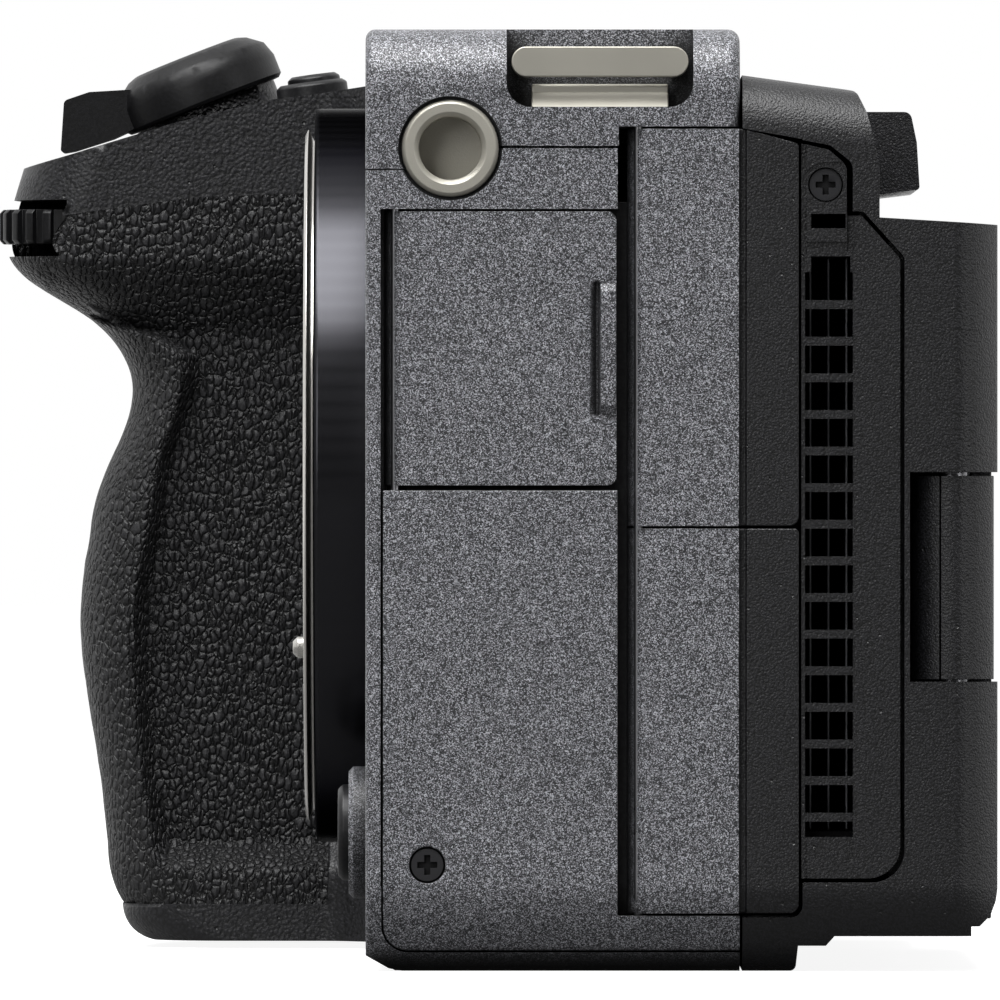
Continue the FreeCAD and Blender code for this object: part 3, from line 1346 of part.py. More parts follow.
def build_rear():
    right = "right - 0.2"
    main = pad(
        "rear_main", "XZ",
        [
            ("metal_rear + 0.2", "0"), ("18.2", "0", "0.5"), ("18.4", "2.1"), ("20.7", "2.1"),
            ("21.4", "belly"), ("bed", "belly"), ("bed", "shoulder - 0.2"),
            ("rear_face", "shoulder - 0.2"), ("rear_face", "66.7", "6"), ("24.1", "70.8"),
            ("23.2", "rear_brow", "0.8"), ("metal_rear + 0.2", "rear_top"),
        ],
        "left", right,
    )
    main = cut("rear_main_soft", main, shaped("brow_rounding", brow_tool()))
    cheeks = []
    for name, low, high in (
        ("upper", "hinge_high + 0.3", "shoulder"), ("lower", "belly", "hinge_low - 0.2")
    ):
        block = pad(
            "cheek_" + name, "XY",
            [
                ("bed - 3", "left"), ("hinge_x + cheek_r - 0.1", "left", "3.65"),
                ("hinge_x + cheek_r - 0.1", "hinge_y + cheek_r", "3.65"),
                ("bed - 3", "hinge_y + cheek_r"),
            ],
            low, high,
        )
        cheeks.append(block)
    cheeks[0] = cut(
        "cheek_upper_sloped", cheeks[0],
        pad(
            "cheek_slope", "XZ",
            [
                ("rear_face", "shoulder"), ("36", "shoulder - 0.65"), ("36", "shoulder + 2"),
                ("20", "shoulder + 2"), ("20", "shoulder"),
            ],
            "left - 1", "hinge_y + 6",
        ),
    )
    cheeks[1] = cut(
        "cheek_lower_cut", cheeks[1],
        pad(
            "cheek_bevel", "XZ",
            [
                ("32.7", "belly - 1"), ("32.7", "belly + 0.8"), ("33.4", "belly + 0.8"),
                ("34.3", "belly + 1.7"), ("34.75", "belly + 2.9"), ("34.95", "belly + 4.2"),
                ("37", "belly + 4.2"), ("37", "belly - 1"),
            ],
            "left - 1", "hinge_y + 6",
        ),
    )
    deck = box("deck_block", ("bed - 3", "deck"), ("deck_left", right), ("belly", "shoulder - 0.2"))
    deck = rounded(
        "deck_soft", deck, "1.6",
        pick_now(deck, "y", x="deck", z="belly") + pick_now(deck, "z", x="deck", y=right) + pick_now(
            deck, "z", x="deck", y="deck_left"
        ) + pick_now(
            deck, "y", x="deck", z="shoulder - 0.2"
        ),
    )
    rest = pad(
        "thumb_rest_pad", "XZ",
        [
            ("22.5", "65.5"), ("27", "65.5"), ("30.3", "65.9", "0.3"), ("30.05", "70"),
            ("29.5", "rear_brow - 0.05", "0.7"), ("22.5", "rear_brow - 0.05"),
        ],
        "50", "right - 1.7",
    )
    outer = fuse("rear_outer", main, cheeks[0], cheeks[1], deck, rest)
    rooms = [
        box(
            "rear_room_top", ("metal_rear", "rear_face - wall"), ("left + wall", f"{right} - wall"),
            ("belly + wall", "rear_brow - wall - 0.2"),
        ),
        box(
            "rear_room_bed", ("metal_rear", "bed - wall"), ("left + wall", f"{right} - wall"),
            ("belly + wall", "shoulder - wall - 0.2"),
        ),
        box(
            "rear_room_deck", ("bed - wall - 0.1", "deck - wall"),
            ("deck_left + wall", f"{right} - wall"), ("belly + wall", "shoulder - wall - 0.2"),
        ),
    ]
    doors_cut = pad(
        "rear_doors_cut", "XZ",
        [
            ("metal_rear - 1", "door_foot - vent_gap"),
            ("door_rear + 0.3", "door_foot - vent_gap", "1"),
            ("door_rear + 0.3", "door_head - seam - 0.85"), ("metal_rear - 1", "door_head + 0.05"),
        ],
        "left - 1", "left + wall + 0.1",
    )
    vent_cut = pad("rear_vent_cut", "XZ", vent_outline("vent_gap"), "left - 1", "left + 3.1")
    dial_cup = rod(
        "rear_dial_cup", ("rear_dial_x", "rear_dial_y", "rear_dial_low - 2"), "rear_dial_r + 1.2",
        "2.6", "z",
    )
    dial_room = rod(
        "rear_dial_room", ("rear_dial_x", "rear_dial_y", "rear_dial_low - 0.3"),
        "rear_dial_r + 0.4", "9", "z",
    )
    dial_pin = rod(
        "rear_dial_pin_hole", ("rear_dial_x", "rear_dial_y", "rear_dial_low - 1.8"), "1.2", "2", "z"
    )
    hinge_hole = rod(
        "hinge_pin_hole", ("hinge_x", "hinge_y", "hinge_low - 2"), "hinge_pin_r",
        "hinge_high - hinge_low + 4", "z",
    )
    wheel_room = rod("wheel_room", ("deck - 1.2", "wheel_y", "wheel_z"), "wheel_r + 0.2", "2", "x")
    wheel_hub = rod("wheel_hub_hole", ("deck - wall - 1", "wheel_y", "wheel_z"), "3.3", "4", "x")
    stick_hole = turned(
        "stick_hole", [("0", "0"), ("2.4", "0"), ("3.9", "2.2"), ("3.9", "3"), ("0", "3")],
        ("deck - wall - 0.1", "stick_y", "stick_z"), "x",
    )
    button_holes = [
        rod("rear_button_hole", ("deck - wall - 1", y, z), f"{r} + button_gap", "4", "x")
        for _, y, z, r in REAR_BUTTONS
    ]
    hollow = cut("rear_hollow", outer, *rooms)
    cupped = fuse("rear_cupped", hollow, dial_cup)
    trim = box("rear_trim", ("0", "metal_rear + 0.2"), ("left - 1", "right + 1"), ("-1", "top"))
    node(
        "rear_cover",
        cut(
            "rear_cover", cupped, doors_cut, vent_cut, dial_room, dial_pin, hinge_hole, wheel_room,
            wheel_hub, stick_hole, trim, *button_holes,
        ),
    )

    node(
        "rear_dial",
        knurled(
            "rear_dial", "rear_dial_r", "3.0", "1.2 + run_gap", 36, "0.35",
            ("rear_dial_x", "rear_dial_y", "rear_dial_low"), "z",
        ),
    )
    gather(
        "hinge_pins",
        rod(
            "rear_dial_pin", ("rear_dial_x", "rear_dial_y", "rear_dial_low - 1.8"), "1.2", "4.6",
            "z",
        ),
    )

    # Control wheel round the centre button, both carried by a hub behind the deck.
    wheel = knurled(
        "control_wheel", "wheel_r", "1.7", "3.6", 40, "0.3", ("deck - 1.15", "wheel_y", "wheel_z"),
        "x",
    )
    node("control_wheel", wheel)
    hub = turned(
        "wheel_hub_turned",
        [
            ("2.6", "0"), ("3.3", "0"), ("3.3", "2.7"), ("3.55", "2.7"), ("3.55", "3.0"),
            ("2.6", "3.0"),
        ],
        ("deck - wall - 1.2", "wheel_y", "wheel_z"), "x",
    )
    gather("control_unit", hub)
    node(
        "centre_button",
        turned(
            "centre_button",
            [("0", "0"), ("2.5", "0"), ("2.5", "3.2"), ("2.2", "3.5"), ("0", "3.5")],
            ("deck - wall - 1.2", "wheel_y", "wheel_z"), "x",
        ),
    )
    board_x = "deck - wall - 2.8"
    gather(
        "control_unit",
        box(
            "control_board", (board_x + " - 1.2", board_x), ("deck_left + 3.5", f"{right} - 3"),
            ("belly + 4", "shoulder - 3.5"),
        ),
    )

    # Joystick: a cap on a stem, carried in a gimbal ring by two crossed pins.
    centre = ("deck - wall - 1.2", "stick_y", "stick_z")
    stem = turned(
        "stick_stem",
        [
            ("0", "-0.9"), ("0.9", "-0.9"), ("0.9", "2.6"), ("2.0", "3.2"), ("2.0", "4.0"),
            ("1.6", "4.3"), ("0", "4.1"),
        ],
        centre, "x",
    )
    cross_hole = rod(
        "stick_cross_hole", (centre[0], f"{centre[1]} - 2", centre[2]), "0.35 + run_gap", "4", "y"
    )
    node("joystick", cut("joystick", stem, cross_hole))
    ring = turned(
        "gimbal_turned", [("1.5", "-0.6"), ("2.1", "-0.6"), ("2.1", "0.6"), ("1.5", "0.6")], centre,
        "x",
    )
    side_pin = rod("gimbal_side_pin", (centre[0], f"{centre[1]} - 1.8", centre[2]), "0.35", "3.6", "y")
    up_hole = rod(
        "gimbal_up_hole", (centre[0], centre[1], f"{centre[2]} - 3"), "0.35 + run_gap", "6", "z"
    )
    node("joystick_gimbal", fuse("joystick_gimbal", cut("gimbal_bored", ring, up_hole), side_pin))
    posts = [
        cut(
            "stick_post_bored",
            box(
                "stick_post", (board_x, f"{centre[0]} + 0.7"),
                (f"{centre[1]} - 0.7", f"{centre[1]} + 0.7"), z_span,
            ),
            rod("stick_post_hole", (centre[0], centre[1], z_low), "0.35", "3", "z"),
        )
        for z_span, z_low in (
            ((f"{centre[2]} + 2.3", f"{centre[2]} + 3.1"), f"{centre[2]} + 1"),
            ((f"{centre[2]} - 3.1", f"{centre[2]} - 2.3"), f"{centre[2]} - 4"),
        )
    ]
    pins = [rod("stick_pin", (centre[0], centre[1], f"{centre[2]} + 1.55"), "0.35", "1.55", "z"),
            rod("stick_pin_low", (centre[0], centre[1], f"{centre[2]} - 3.1"), "0.35", "1.55", "z")]
    gather(
        "control_unit", fuse("stick_bearing_a", posts[0], pins[0]),
        fuse("stick_bearing_b", posts[1], pins[1]),
    )
    for name, y, z, r in REAR_BUTTONS:
        node(name, plunger(name, ("deck - wall - 0.6", y, z), r, "wall", "x"))


REAR_BUTTONS = (("menu_button", "47.5", "57", "2.3"), ("autofocus_button", "77", "56.5", "2.6"),
                ("playback_button", "50.5", "16.5", "2.3"), ("delete_button", "75", "16.5", "2.3"))


def plunger(label, at, radius, wall, along):
    """A push button. The point is the middle of its inner flange; the cap passes through the wall."""
    return turned(
        label,
        [
            ("0", "0"), (f"{radius} + 0.6", "0"), (f"{radius} + 0.6", "0.55"), (radius, "0.55"),
            (radius, f"0.6 + {wall} + button_rise - 0.25"),
            (f"{radius} - 0.25", f"0.6 + {wall} + button_rise"),
            ("0", f"0.6 + {wall} + button_rise - 0.1"),
        ],
        at, along,
    )


# Monitor on its side hinge

def build_monitor():
    z = ("hinge_low", "hinge_high")
    barrel = rod("hinge_barrel", ("hinge_x", "hinge_y", z[0]), "hinge_r", f"{z[1]} - {z[0]}", "z")
    neck = pad(
        "hinge_neck", "XY",
        [
            ("screen_front + 0.1", "hinge_y"), ("screen_back - 0.3", "hinge_y"),
            ("screen_back - 0.3", "screen_left"), ("screen_front + 0.1", "screen_left"),
        ],
        f"{z[0]} + 0.1", f"{z[1]} - 0.1",
    )
    bore = rod(
        "hinge_bore", ("hinge_x", "hinge_y", f"{z[0]} - 1"), "hinge_pin_r + run_gap",
        f"{z[1]} - {z[0]} + 2", "z",
    )
    block = cut("hinge_bored", fuse("hinge_fused", barrel, neck), bore)
    seam = "hinge_x - 1.1"
    front_half = box("hinge_front_half", ("bed", f"{seam} - 0.06"), ("left - 1", "screen_left"), z)
    rear_half = box("hinge_rear_half", (f"{seam} + 0.06", "36"), ("left - 1", "screen_left"), z)
    gather("hinge_block", common("hinge_front_cover", block, front_half))
    gather("hinge_block", common("hinge_rear_cover", block, rear_half))
    gather(
        "hinge_pins",
        rod(
            "hinge_pin", ("hinge_x", "hinge_y", "hinge_low - 2"), "hinge_pin_r",
            "hinge_high - hinge_low + 4", "z",
        ),
    )

    y, z = ("screen_left", "screen_right"), ("screen_low", "screen_high")
    back = soft_block("monitor_back_block", ("screen_front", "screen_back - 1.8"), y, z, "1.6")
    room = box(
        "monitor_back_room", ("screen_front + 1.2", "screen_back"),
        (f"{y[0]} + 1.4", f"{y[1]} - 1.4"), (f"{z[0]} + 1.4", f"{z[1]} - 1.4"),
    )
    gather("monitor_back", cut("monitor_back_shell", back, room))
    rim = soft_block("monitor_rim_block", ("screen_back - 1.75", "screen_back"), y, z, "1.6")
    glass_room = box(
        "monitor_glass_room", ("screen_back - 0.9", "screen_back + 1"),
        (f"{y[0]} + 1.5", f"{y[1]} - 1.5"), (f"{z[0]} + 1.5", f"{z[1]} - 1.5"),
    )
    view = box(
        "monitor_view", ("screen_back - 3", "screen_back"), (f"{y[0]} + 4.4", f"{y[1]} - 6.4"),
        (f"{z[0]} + 4.4", f"{z[1]} - 4.4"),
    )
    node("monitor_bezel", cut("monitor_bezel", rim, glass_room, view))
    gather(
        "monitor_back",
        box(
            "monitor_panel", ("screen_front + 1.2", "screen_back - 1.8"),
            (f"{y[0]} + 3.5", f"{y[1]} - 5.5"), (f"{z[0]} + 3.5", f"{z[1]} - 3.5"),
        ),
    )
    node(
        "monitor_glass",
        box(
            "monitor_glass", ("screen_back - 0.9", "screen_back - 0.1"),
            (f"{y[0]} + 1.55", f"{y[1]} - 1.55"), (f"{z[0]} + 1.55", f"{z[1]} - 1.55"),
        ),
    )


def soft_block(label, x, y, z, radius):
    """A plate across the body with rounded corners."""
    return pad(
        label, "YZ",
        [(y[0], z[0], radius), (y[1], z[0], radius), (y[1], z[1], radius), (y[0], z[1], radius)],
        x[0], x[1],
    )


# Grip side: foot, frame, leatherette, top cover and what they carry

GRIP_STATIONS = (
    ("grip_base_high", -39.6), (12, -41.2), (21, -42.4), (30.1, -43.0), (38, -41.8), (44.5, -39.6),
    (48.5, -38.6), (52.2, -40.0), (56.2, -45.0), (59.4, -49.1), (63, -49.4), (67, -48.9),
)
FOOT_STATIONS = (
    ("grip_base_low", -36.9), ("grip_base_low + 0.5", -38.1), ("grip_base_low + 1.5", -39.1),
    ("grip_base_high", -39.6),
)
TOP_STATIONS = ((62, -49.5), (64.8, -49.1), (67.8, -48.2), (72, -47.2), (77, -46.4))


def grip_loft(stations, inset, ruled=False):
    """The grip between heights: a station gives a height and how far forward the grip reaches there."""
    rear, split, right = val("metal_rear + seam"), val("split"), val("right") - inset
    wires = []
    for height, front in stations:
        x = front + inset
        wires.append(
            soft_wire(
                [
                    (rear, split, 0), (-17.3, split, 0), (-20.5, 47.8 + inset, 3),
                    (x, 48.6 + inset, 7 - inset), (x + 2.2, 80.2 - inset, 10 - inset),
                    (-19, right, 12), (rear, right, 0),
                ],
                val(height),
            )
        )
    return Part.makeLoft(wires, True, ruled, False)


def prism(corners, y):
    """A side-view outline drawn across the grip."""
    points = [V(x, y[0], z) for x, z in corners]
    return Part.Face(Part.makePolygon(points + points[:1])).extrude(V(0, y[1] - y[0], 0))


TOP_LINE = (
    ("nose", "grip_top_front"), ("nose + 5.25", "grip_top_front + 1.45"),
    ("-34.2", "grip_top_middle"), ("-26.2", "grip_top_back - 1.05"), ("-18.4", "grip_top_back"),
    ("-9", "grip_top_flat"),
)


def slope_height(x):
    """Height of the grip's top, whose slope flattens towards the level part behind it."""
    points = [(val(at), val(height)) for at, height in TOP_LINE]
    for (x0, z0), (x1, z1) in zip(points, points[1:]):
        if x <= x1:
            return z0 + (x - x0) * (z1 - z0) / (x1 - x0)
    return points[-1][1]


def build_grip():
    seam = [(-17.3, 65.7), (-23.5, 65.55), (-33.1, 65.15), (-45.1, 63.5), (-60, 61.2)]
    below_seam = prism([(-60, -5), (20, -5), (20, 65.7), *seam], (40, 90))
    top_line = [(x, slope_height(x)) for x in (-60, *(val(at) for at, _ in TOP_LINE[1:]), 20)]
    above_top = prism([*top_line, (20, 90), (-60, 90)], (40, 90))
    body = grip_loft(GRIP_STATIONS, 0).common(below_seam)
    core = grip_loft(GRIP_STATIONS, val("grip_skin"), ruled=True)
    wrap = Part.makeBox(57, 45, 90, V(-60, 49.4, 0)).fuse(Part.makeBox(38.8, 10, 90, V(-60, 40, 0)))
    wrap = wrap.cut(
        Part.makeBox(20, 50, 90, V(-17, 40, 0)).cut(Part.makeBox(20, 50, 90, V(-17, 82, 0)))
    )
    skin = body.cut(core).common(wrap)
    door_y = ("battery_y - 0.7", "battery_y + battery_wide + 0.7")
    bay = box(
        "battery_bay", ("battery_x - 0.2", "battery_x + battery_long + 0.2"),
        ("battery_y - 0.2", "battery_y + battery_wide + 0.2"), ("-1", "battery_high + 0.3"),
    )
    card_bay = box(
        "card_bay", ("card_front + 4.1", "card_rear + 0.1"), ("57.9", "right - 1.5"),
        ("19.9", "58.1"),
    )
    card_room = box(
        "card_door_room", ("card_front - 0.2", "card_rear + 0.2"), ("right - 1.6", "right + 1"),
        ("card_low - 0.1", "card_high + 0.1"),
    )
    card_pin = ("card_rear - 0.7", "right - 0.7")
    card_seat = rod(
        "card_pin_seat", (*card_pin, "card_low - 1"), "door_pin_r", "card_high - card_low + 2", "z"
    )
    dial_room = rod(
        "dial_room", ("dial_x", "dial_y", "dial_low - 1.1"), "dial_r + 0.6", "dial_thick + 1.9", "z"
    )
    dial_seat = rod("dial_seat", ("dial_x", "dial_y", "dial_low - 2.4"), "1.0", "dial_thick + 4.4", "z")
    leather = shaped("grip_skin_shape", skin)
    node("grip_leatherette", cut("grip_leatherette", leather, dial_room))
    frame = shaped("grip_frame_shape", body.cut(skin))
    node(
        "grip_frame",
        cut("grip_frame", frame, bay, card_bay, card_room, card_seat, dial_room, dial_seat),
    )

    foot = shaped("grip_foot_shape", grip_loft(FOOT_STATIONS, 0))
    flap_x = ("battery_x - 0.4", "battery_x + battery_long + 1.8")
    flap_room = box(
        "flap_room", (f"{flap_x[0]} - 0.2", f"{flap_x[1]} + 0.2"),
        (f"{door_y[0]} - 0.2", f"{door_y[1]} + 0.2"), ("0", "grip_base_low + 1.6"),
    )
    flap_pin = (f"{flap_x[1]} - 0.7", "grip_base_low + 0.7")
    flap_seat = rod(
        "flap_seat", (flap_pin[0], f"{door_y[0]} - 1", flap_pin[1]), "door_pin_r",
        "battery_wide + 3.4", "y",
    )
    node("grip_foot", cut("grip_foot", foot, bay, flap_room, flap_seat))

    # Battery, its door with a sliding latch, and the door's pin.
    block = box(
        "battery_block", ("battery_x", "battery_x + battery_long"),
        ("battery_y", "battery_y + battery_wide"), ("battery_low", "battery_high"),
    )
    node("battery", rounded("battery", block, "1.2", pick_now(block, "z")))
    barrel = rod("flap_barrel", (flap_pin[0], door_y[0], flap_pin[1]), "0.7", "battery_wide + 1.4", "y")
    leaf = box("flap_leaf", (flap_x[0], flap_pin[0]), door_y, ("grip_base_low", "grip_base_low + 1.4"))
    bore = rod(
        "flap_bore", (flap_pin[0], f"{door_y[0]} - 1", flap_pin[1]), "door_pin_r + run_gap",
        "battery_wide + 3.4", "y",
    )
    latch_room = box(
        "latch_room", ("battery_x + 5", "battery_x + 16"), ("battery_y + 7.9", "battery_y + 14.9"),
        ("grip_base_low - 1", "grip_base_low + 0.7"),
    )
    node("battery_door", cut("battery_door", fuse("flap_fused", barrel, leaf), bore, latch_room))
    latch = box(
        "latch_block", ("battery_x + 5.1", "battery_x + 12.6"),
        ("battery_y + 7.95", "battery_y + 14.85"), ("grip_base_low + 0.05", "grip_base_low + 0.65"),
    )
    ribs = [
        box(
            "latch_rib", (f"battery_x + {7 + i * 1.3}", f"battery_x + {7.6 + i * 1.3}"),
            ("battery_y + 9", "battery_y + 13.8"), ("grip_base_low - 1", "grip_base_low + 0.3"),
        )
        for i in range(4)
    ]
    node("battery_latch", cut("battery_latch", latch, *ribs))
    gather(
        "hinge_pins",
        rod(
            "battery_door_pin", (flap_pin[0], f"{door_y[0]} - 1", flap_pin[1]), "door_pin_r",
            "battery_wide + 3.4", "y",
        ),
    )

    # Card slots behind their door on the right side.
    unit = box(
        "card_unit_block", ("card_front + 4.2", "card_rear"), ("58", "right - 2.1"), ("20", "58")
    )
    slots = [
        box(
            "card_slot", (f"card_front + {x}", f"card_front + {x + 2.3}"), ("59.5", "right"),
            ("24", "49.2"),
        )
        for x in (4.8, 7.9)
    ]
    gather("card_slot_unit", cut("card_unit", unit, *slots))
    gather(
        "card_slot_unit",
        box(
            "memory_card", ("card_front + 4.9", "card_front + 7.0"), ("59.7", "right - 3"),
            ("24.2", "49"),
        ),
    )
    barrel = rod("card_barrel", (*card_pin, "card_low"), "0.7", "card_high - card_low", "z")
    leaf = box(
        "card_leaf", ("card_front", card_pin[0]), ("right - 1.4", "right"),
        ("card_low", "card_high"),
    )
    bore = rod(
        "card_bore", (*card_pin, "card_low - 1"), "door_pin_r + run_gap",
        "card_high - card_low + 2", "z",
    )
    nail = box(
        "card_nail", ("card_front - 1", "card_front + 1.1"), ("right - 0.6", "right + 1"),
        ("35", "43"),
    )
    node("card_door", cut("card_door", fuse("card_fused", barrel, leaf), bore, nail))
    gather(
        "hinge_pins",
        rod(
            "card_door_pin", (*card_pin, "card_low - 1"), "door_pin_r", "card_high - card_low + 2",
            "z",
        ),
    )

    # Front dial in the nose.
    node(
        "front_dial",
        knurled(
            "front_dial", "dial_r", "dial_thick", "1.0 + run_gap", 24, "0.55",
            ("dial_x", "dial_y", "dial_low"), "z", "0.4",
        ),
    )
    gather(
        "hinge_pins",
        rod(
            "front_dial_pin", ("dial_x", "dial_y", "dial_low - 2.4"), "1.0", "dial_thick + 4.4", "z"
        ),
    )
    build_grip_top(below_seam, above_top, dial_room, dial_seat)


def build_grip_top(below_seam, above_top, dial_room, dial_seat):
    top = grip_loft(TOP_STATIONS, 0).cut(below_seam).cut(above_top)
    shell = shaped("grip_top_shape", top)
    tilt = math.radians(val("zoom_tilt"))
    lean = V(-math.sin(tilt), 0, math.cos(tilt))
    base = ("zoom_x", "zoom_y", "zoom_z")
    pedestal = turned(
        "zoom_pedestal",
        [
            ("0", "-5"), ("6.4", "-5"), ("6.4", "-0.1"), ("4.55", "-0.1"), ("4.55", "4.2"),
            ("0", "4.2"),
        ],
        base, lean,
    )
    well = turned(
        "record_well", [("0", "-1.1"), ("4.15", "-1.1"), ("4.15", "5"), ("0", "5")], base, lean
    )
    slope = math.atan(1.05 / 7.8)
    upright = V(-math.sin(slope), 0, math.cos(slope))
    rooms, caps = [], []
    for name, x, y, r, rise in TOP_BUTTONS:
        point = (f"{x}", f"{y}", f"{slope_height(x):.3f}")
        rooms.append(
            turned(
                name + "_room",
                [
                    ("0", "-3.2"), (r + 0.8, "-3.2"), (r + 0.8, "-1.5"), (r + 0.15, "-1.5"),
                    (r + 0.15, "2"), ("0", "2"),
                ],
                point, upright,
            )
        )
        caps.append(
            (
                name,
                turned(
                    name,
                    [
                        ("0", "-2.1"), (r + 0.6, "-2.1"), (r + 0.6, "-1.55"), (r, "-1.55"),
                        (r, rise - 0.35), (r - 0.4, rise - 0.05), ("0", rise),
                    ],
                    point, upright,
                ),
            )
        )
    insert_hole = rod(
        "right_insert_hole", ("side_insert_x", "right + 1", "right_insert_z"), "insert_r", "7", "-y"
    )
    strap_room = box(
        "right_strap_room", ("lug_x - lug_long / 2 - 0.4", "lug_x + lug_long / 2 + 0.4"),
        ("right - lug_pocket_deep", "right + 1"),
        ("right_lug_low - lug_low + lug_pocket_low", "top"),
    )
    rear_dial_room = rod(
        "grip_rear_dial_room", ("rear_dial_x", "rear_dial_y", "rear_dial_low - 0.3"),
        "rear_dial_r + 0.4", "9", "z",
    )
    solid = fuse("grip_top_fused", shell, pedestal)
    node(
        "grip_top",
        cut(
            "grip_top", solid, well, insert_hole, strap_room, rear_dial_room, dial_room, dial_seat,
            *rooms,
        ),
    )
    for name, cap in caps:
        node(name, cap)
    node(
        "record_button",
        turned(
            "record_button",
            [
                ("0", "-0.4"), ("4.0", "-0.4"), ("4.0", "4.0"), ("3.5", "4.4"), ("1.8", "4.6"),
                ("0", "4.65"),
            ],
            base, lean,
        ),
    )
    ring = turned(
        "zoom_ring_turned",
        [
            ("4.55 + run_gap", "0"), ("zoom_r - 0.3", "0"), ("zoom_r", "0.3"), ("zoom_r", "2.0"),
            ("zoom_r - 0.45", "3.3"), ("zoom_r - 1.7", "4.25"), ("zoom_r - 2.4", "4.5"),
            ("4.55 + run_gap", "4.55"),
        ],
        base, lean,
    )
    tab = pad(
        "zoom_tab", "XZ",
        [
            ("-37.9", "71.45"), ("-39.96", "70.5"), ("-43.4", "69.4", "0.3"),
            ("-44.6", "69.2", "0.3"), ("-44.3", "73.8", "0.5"), ("-42.1", "74.55"),
            ("-37.9", "74.8"),
        ],
        "zoom_y - 3.2", "zoom_y + 3.2",
    )
    node("zoom_ring", fuse("zoom_ring", ring, tab))
    gather(
        "thread_inserts",
        threaded_insert("right_thread_insert", ("side_insert_x", "right", "right_insert_z"), "y"),
    )
    gather("strap_eyelets", *eyelet("right_strap_eyelet", "right", -1, "right_lug_low"))


TOP_BUTTONS = (("top_button_front", -22.5, 53.3, 3.1, 1.2), ("top_button_rear", -22.3, 61.8, 2.3, 2.0))


# Build, check and export

def finish():
    for label, parts in GATHERED.items():
        node(label, group(label, parts))
    DOC.recompute()
    faults = []
    for thing in DOC.Objects:
        shape = getattr(thing, "Shape", None)
        if "Invalid" in thing.State or "Error" in thing.State:
            faults.append(f"{thing.Name} did not compute")
        elif shape is not None and not shape.isNull() and not shape.isValid():
            faults.append(f"{thing.Name} has an invalid shape")
    if faults:
        raise RuntimeError("; ".join(faults))
    os.makedirs("parts", exist_ok=True)
    for label, thing in NODES.items():
        if thing.Shape.isNull() or not thing.Shape.Solids:
            raise RuntimeError(f"{label} is empty")
        thing.Shape.exportStep(f"parts/{label}.step")
        size = thing.Shape.BoundBox
        measures = f"{size.XLength:.1f} x {size.YLength:.1f} x {size.ZLength:.1f} mm"
        print(f"{label}: {measures}, solids: {len(thing.Shape.Solids)}")
    print(f"{len(NODES)} pieces")


build_lens_mount()
build_inside()
build_covers()
build_left_side()
build_rear()
build_monitor()
build_grip()
finish()
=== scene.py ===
"""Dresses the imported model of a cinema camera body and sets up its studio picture.

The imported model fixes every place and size. This script gives its pieces soft edges and
their materials, adds the small details that the solids leave out, and makes the floor,
the lights and the camera. Lengths are in metres unless a name ends in _mm.
"""
import json
import logging
import math
from collections.abc import Iterator
from contextlib import contextmanager
from dataclasses import dataclass, field
from enum import Enum, IntEnum
from typing import ClassVar

import bpy
from bpy.types import Material, Node, NodeSocket, NodeTree, Object
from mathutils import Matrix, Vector

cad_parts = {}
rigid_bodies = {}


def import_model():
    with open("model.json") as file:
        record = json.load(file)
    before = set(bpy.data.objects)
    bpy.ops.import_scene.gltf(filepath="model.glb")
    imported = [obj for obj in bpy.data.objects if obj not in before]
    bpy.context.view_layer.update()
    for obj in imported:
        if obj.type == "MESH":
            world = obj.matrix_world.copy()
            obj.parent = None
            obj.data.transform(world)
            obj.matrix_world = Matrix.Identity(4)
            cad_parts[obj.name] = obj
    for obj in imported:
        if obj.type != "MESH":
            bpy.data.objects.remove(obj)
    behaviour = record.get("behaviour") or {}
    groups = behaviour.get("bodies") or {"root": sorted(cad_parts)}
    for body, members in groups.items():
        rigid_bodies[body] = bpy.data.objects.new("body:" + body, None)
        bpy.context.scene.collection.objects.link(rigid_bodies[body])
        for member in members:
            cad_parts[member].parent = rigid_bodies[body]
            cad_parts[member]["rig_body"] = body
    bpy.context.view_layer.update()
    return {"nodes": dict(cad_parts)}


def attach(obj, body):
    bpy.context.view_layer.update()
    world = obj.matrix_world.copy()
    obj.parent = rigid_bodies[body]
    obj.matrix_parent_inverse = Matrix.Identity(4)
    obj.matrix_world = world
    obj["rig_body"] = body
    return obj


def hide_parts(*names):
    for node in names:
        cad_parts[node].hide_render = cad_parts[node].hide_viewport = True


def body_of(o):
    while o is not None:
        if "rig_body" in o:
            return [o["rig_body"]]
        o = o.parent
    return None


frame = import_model()

LOG = logging.getLogger("camera")
MM = 0.001
LENS_HEIGHT = 0.041
# Points nearer than this are one point, and faces flatter than this to each other one face
MERGE_MM = 0.002
FLAT_DEGREES = 0.6
# The colour of the shade that is painted into seams and turned-in edges
PAINTED_SHADE_COLOUR = "#060607"
# A high power keeps the painted shade to the seam itself
PAINTED_SHADE_POWER = 2.5


class Axis(IntEnum):
    """Axes of the shared frame, by their place in a vector."""

    X = 0
    Y = 1
    Z = 2


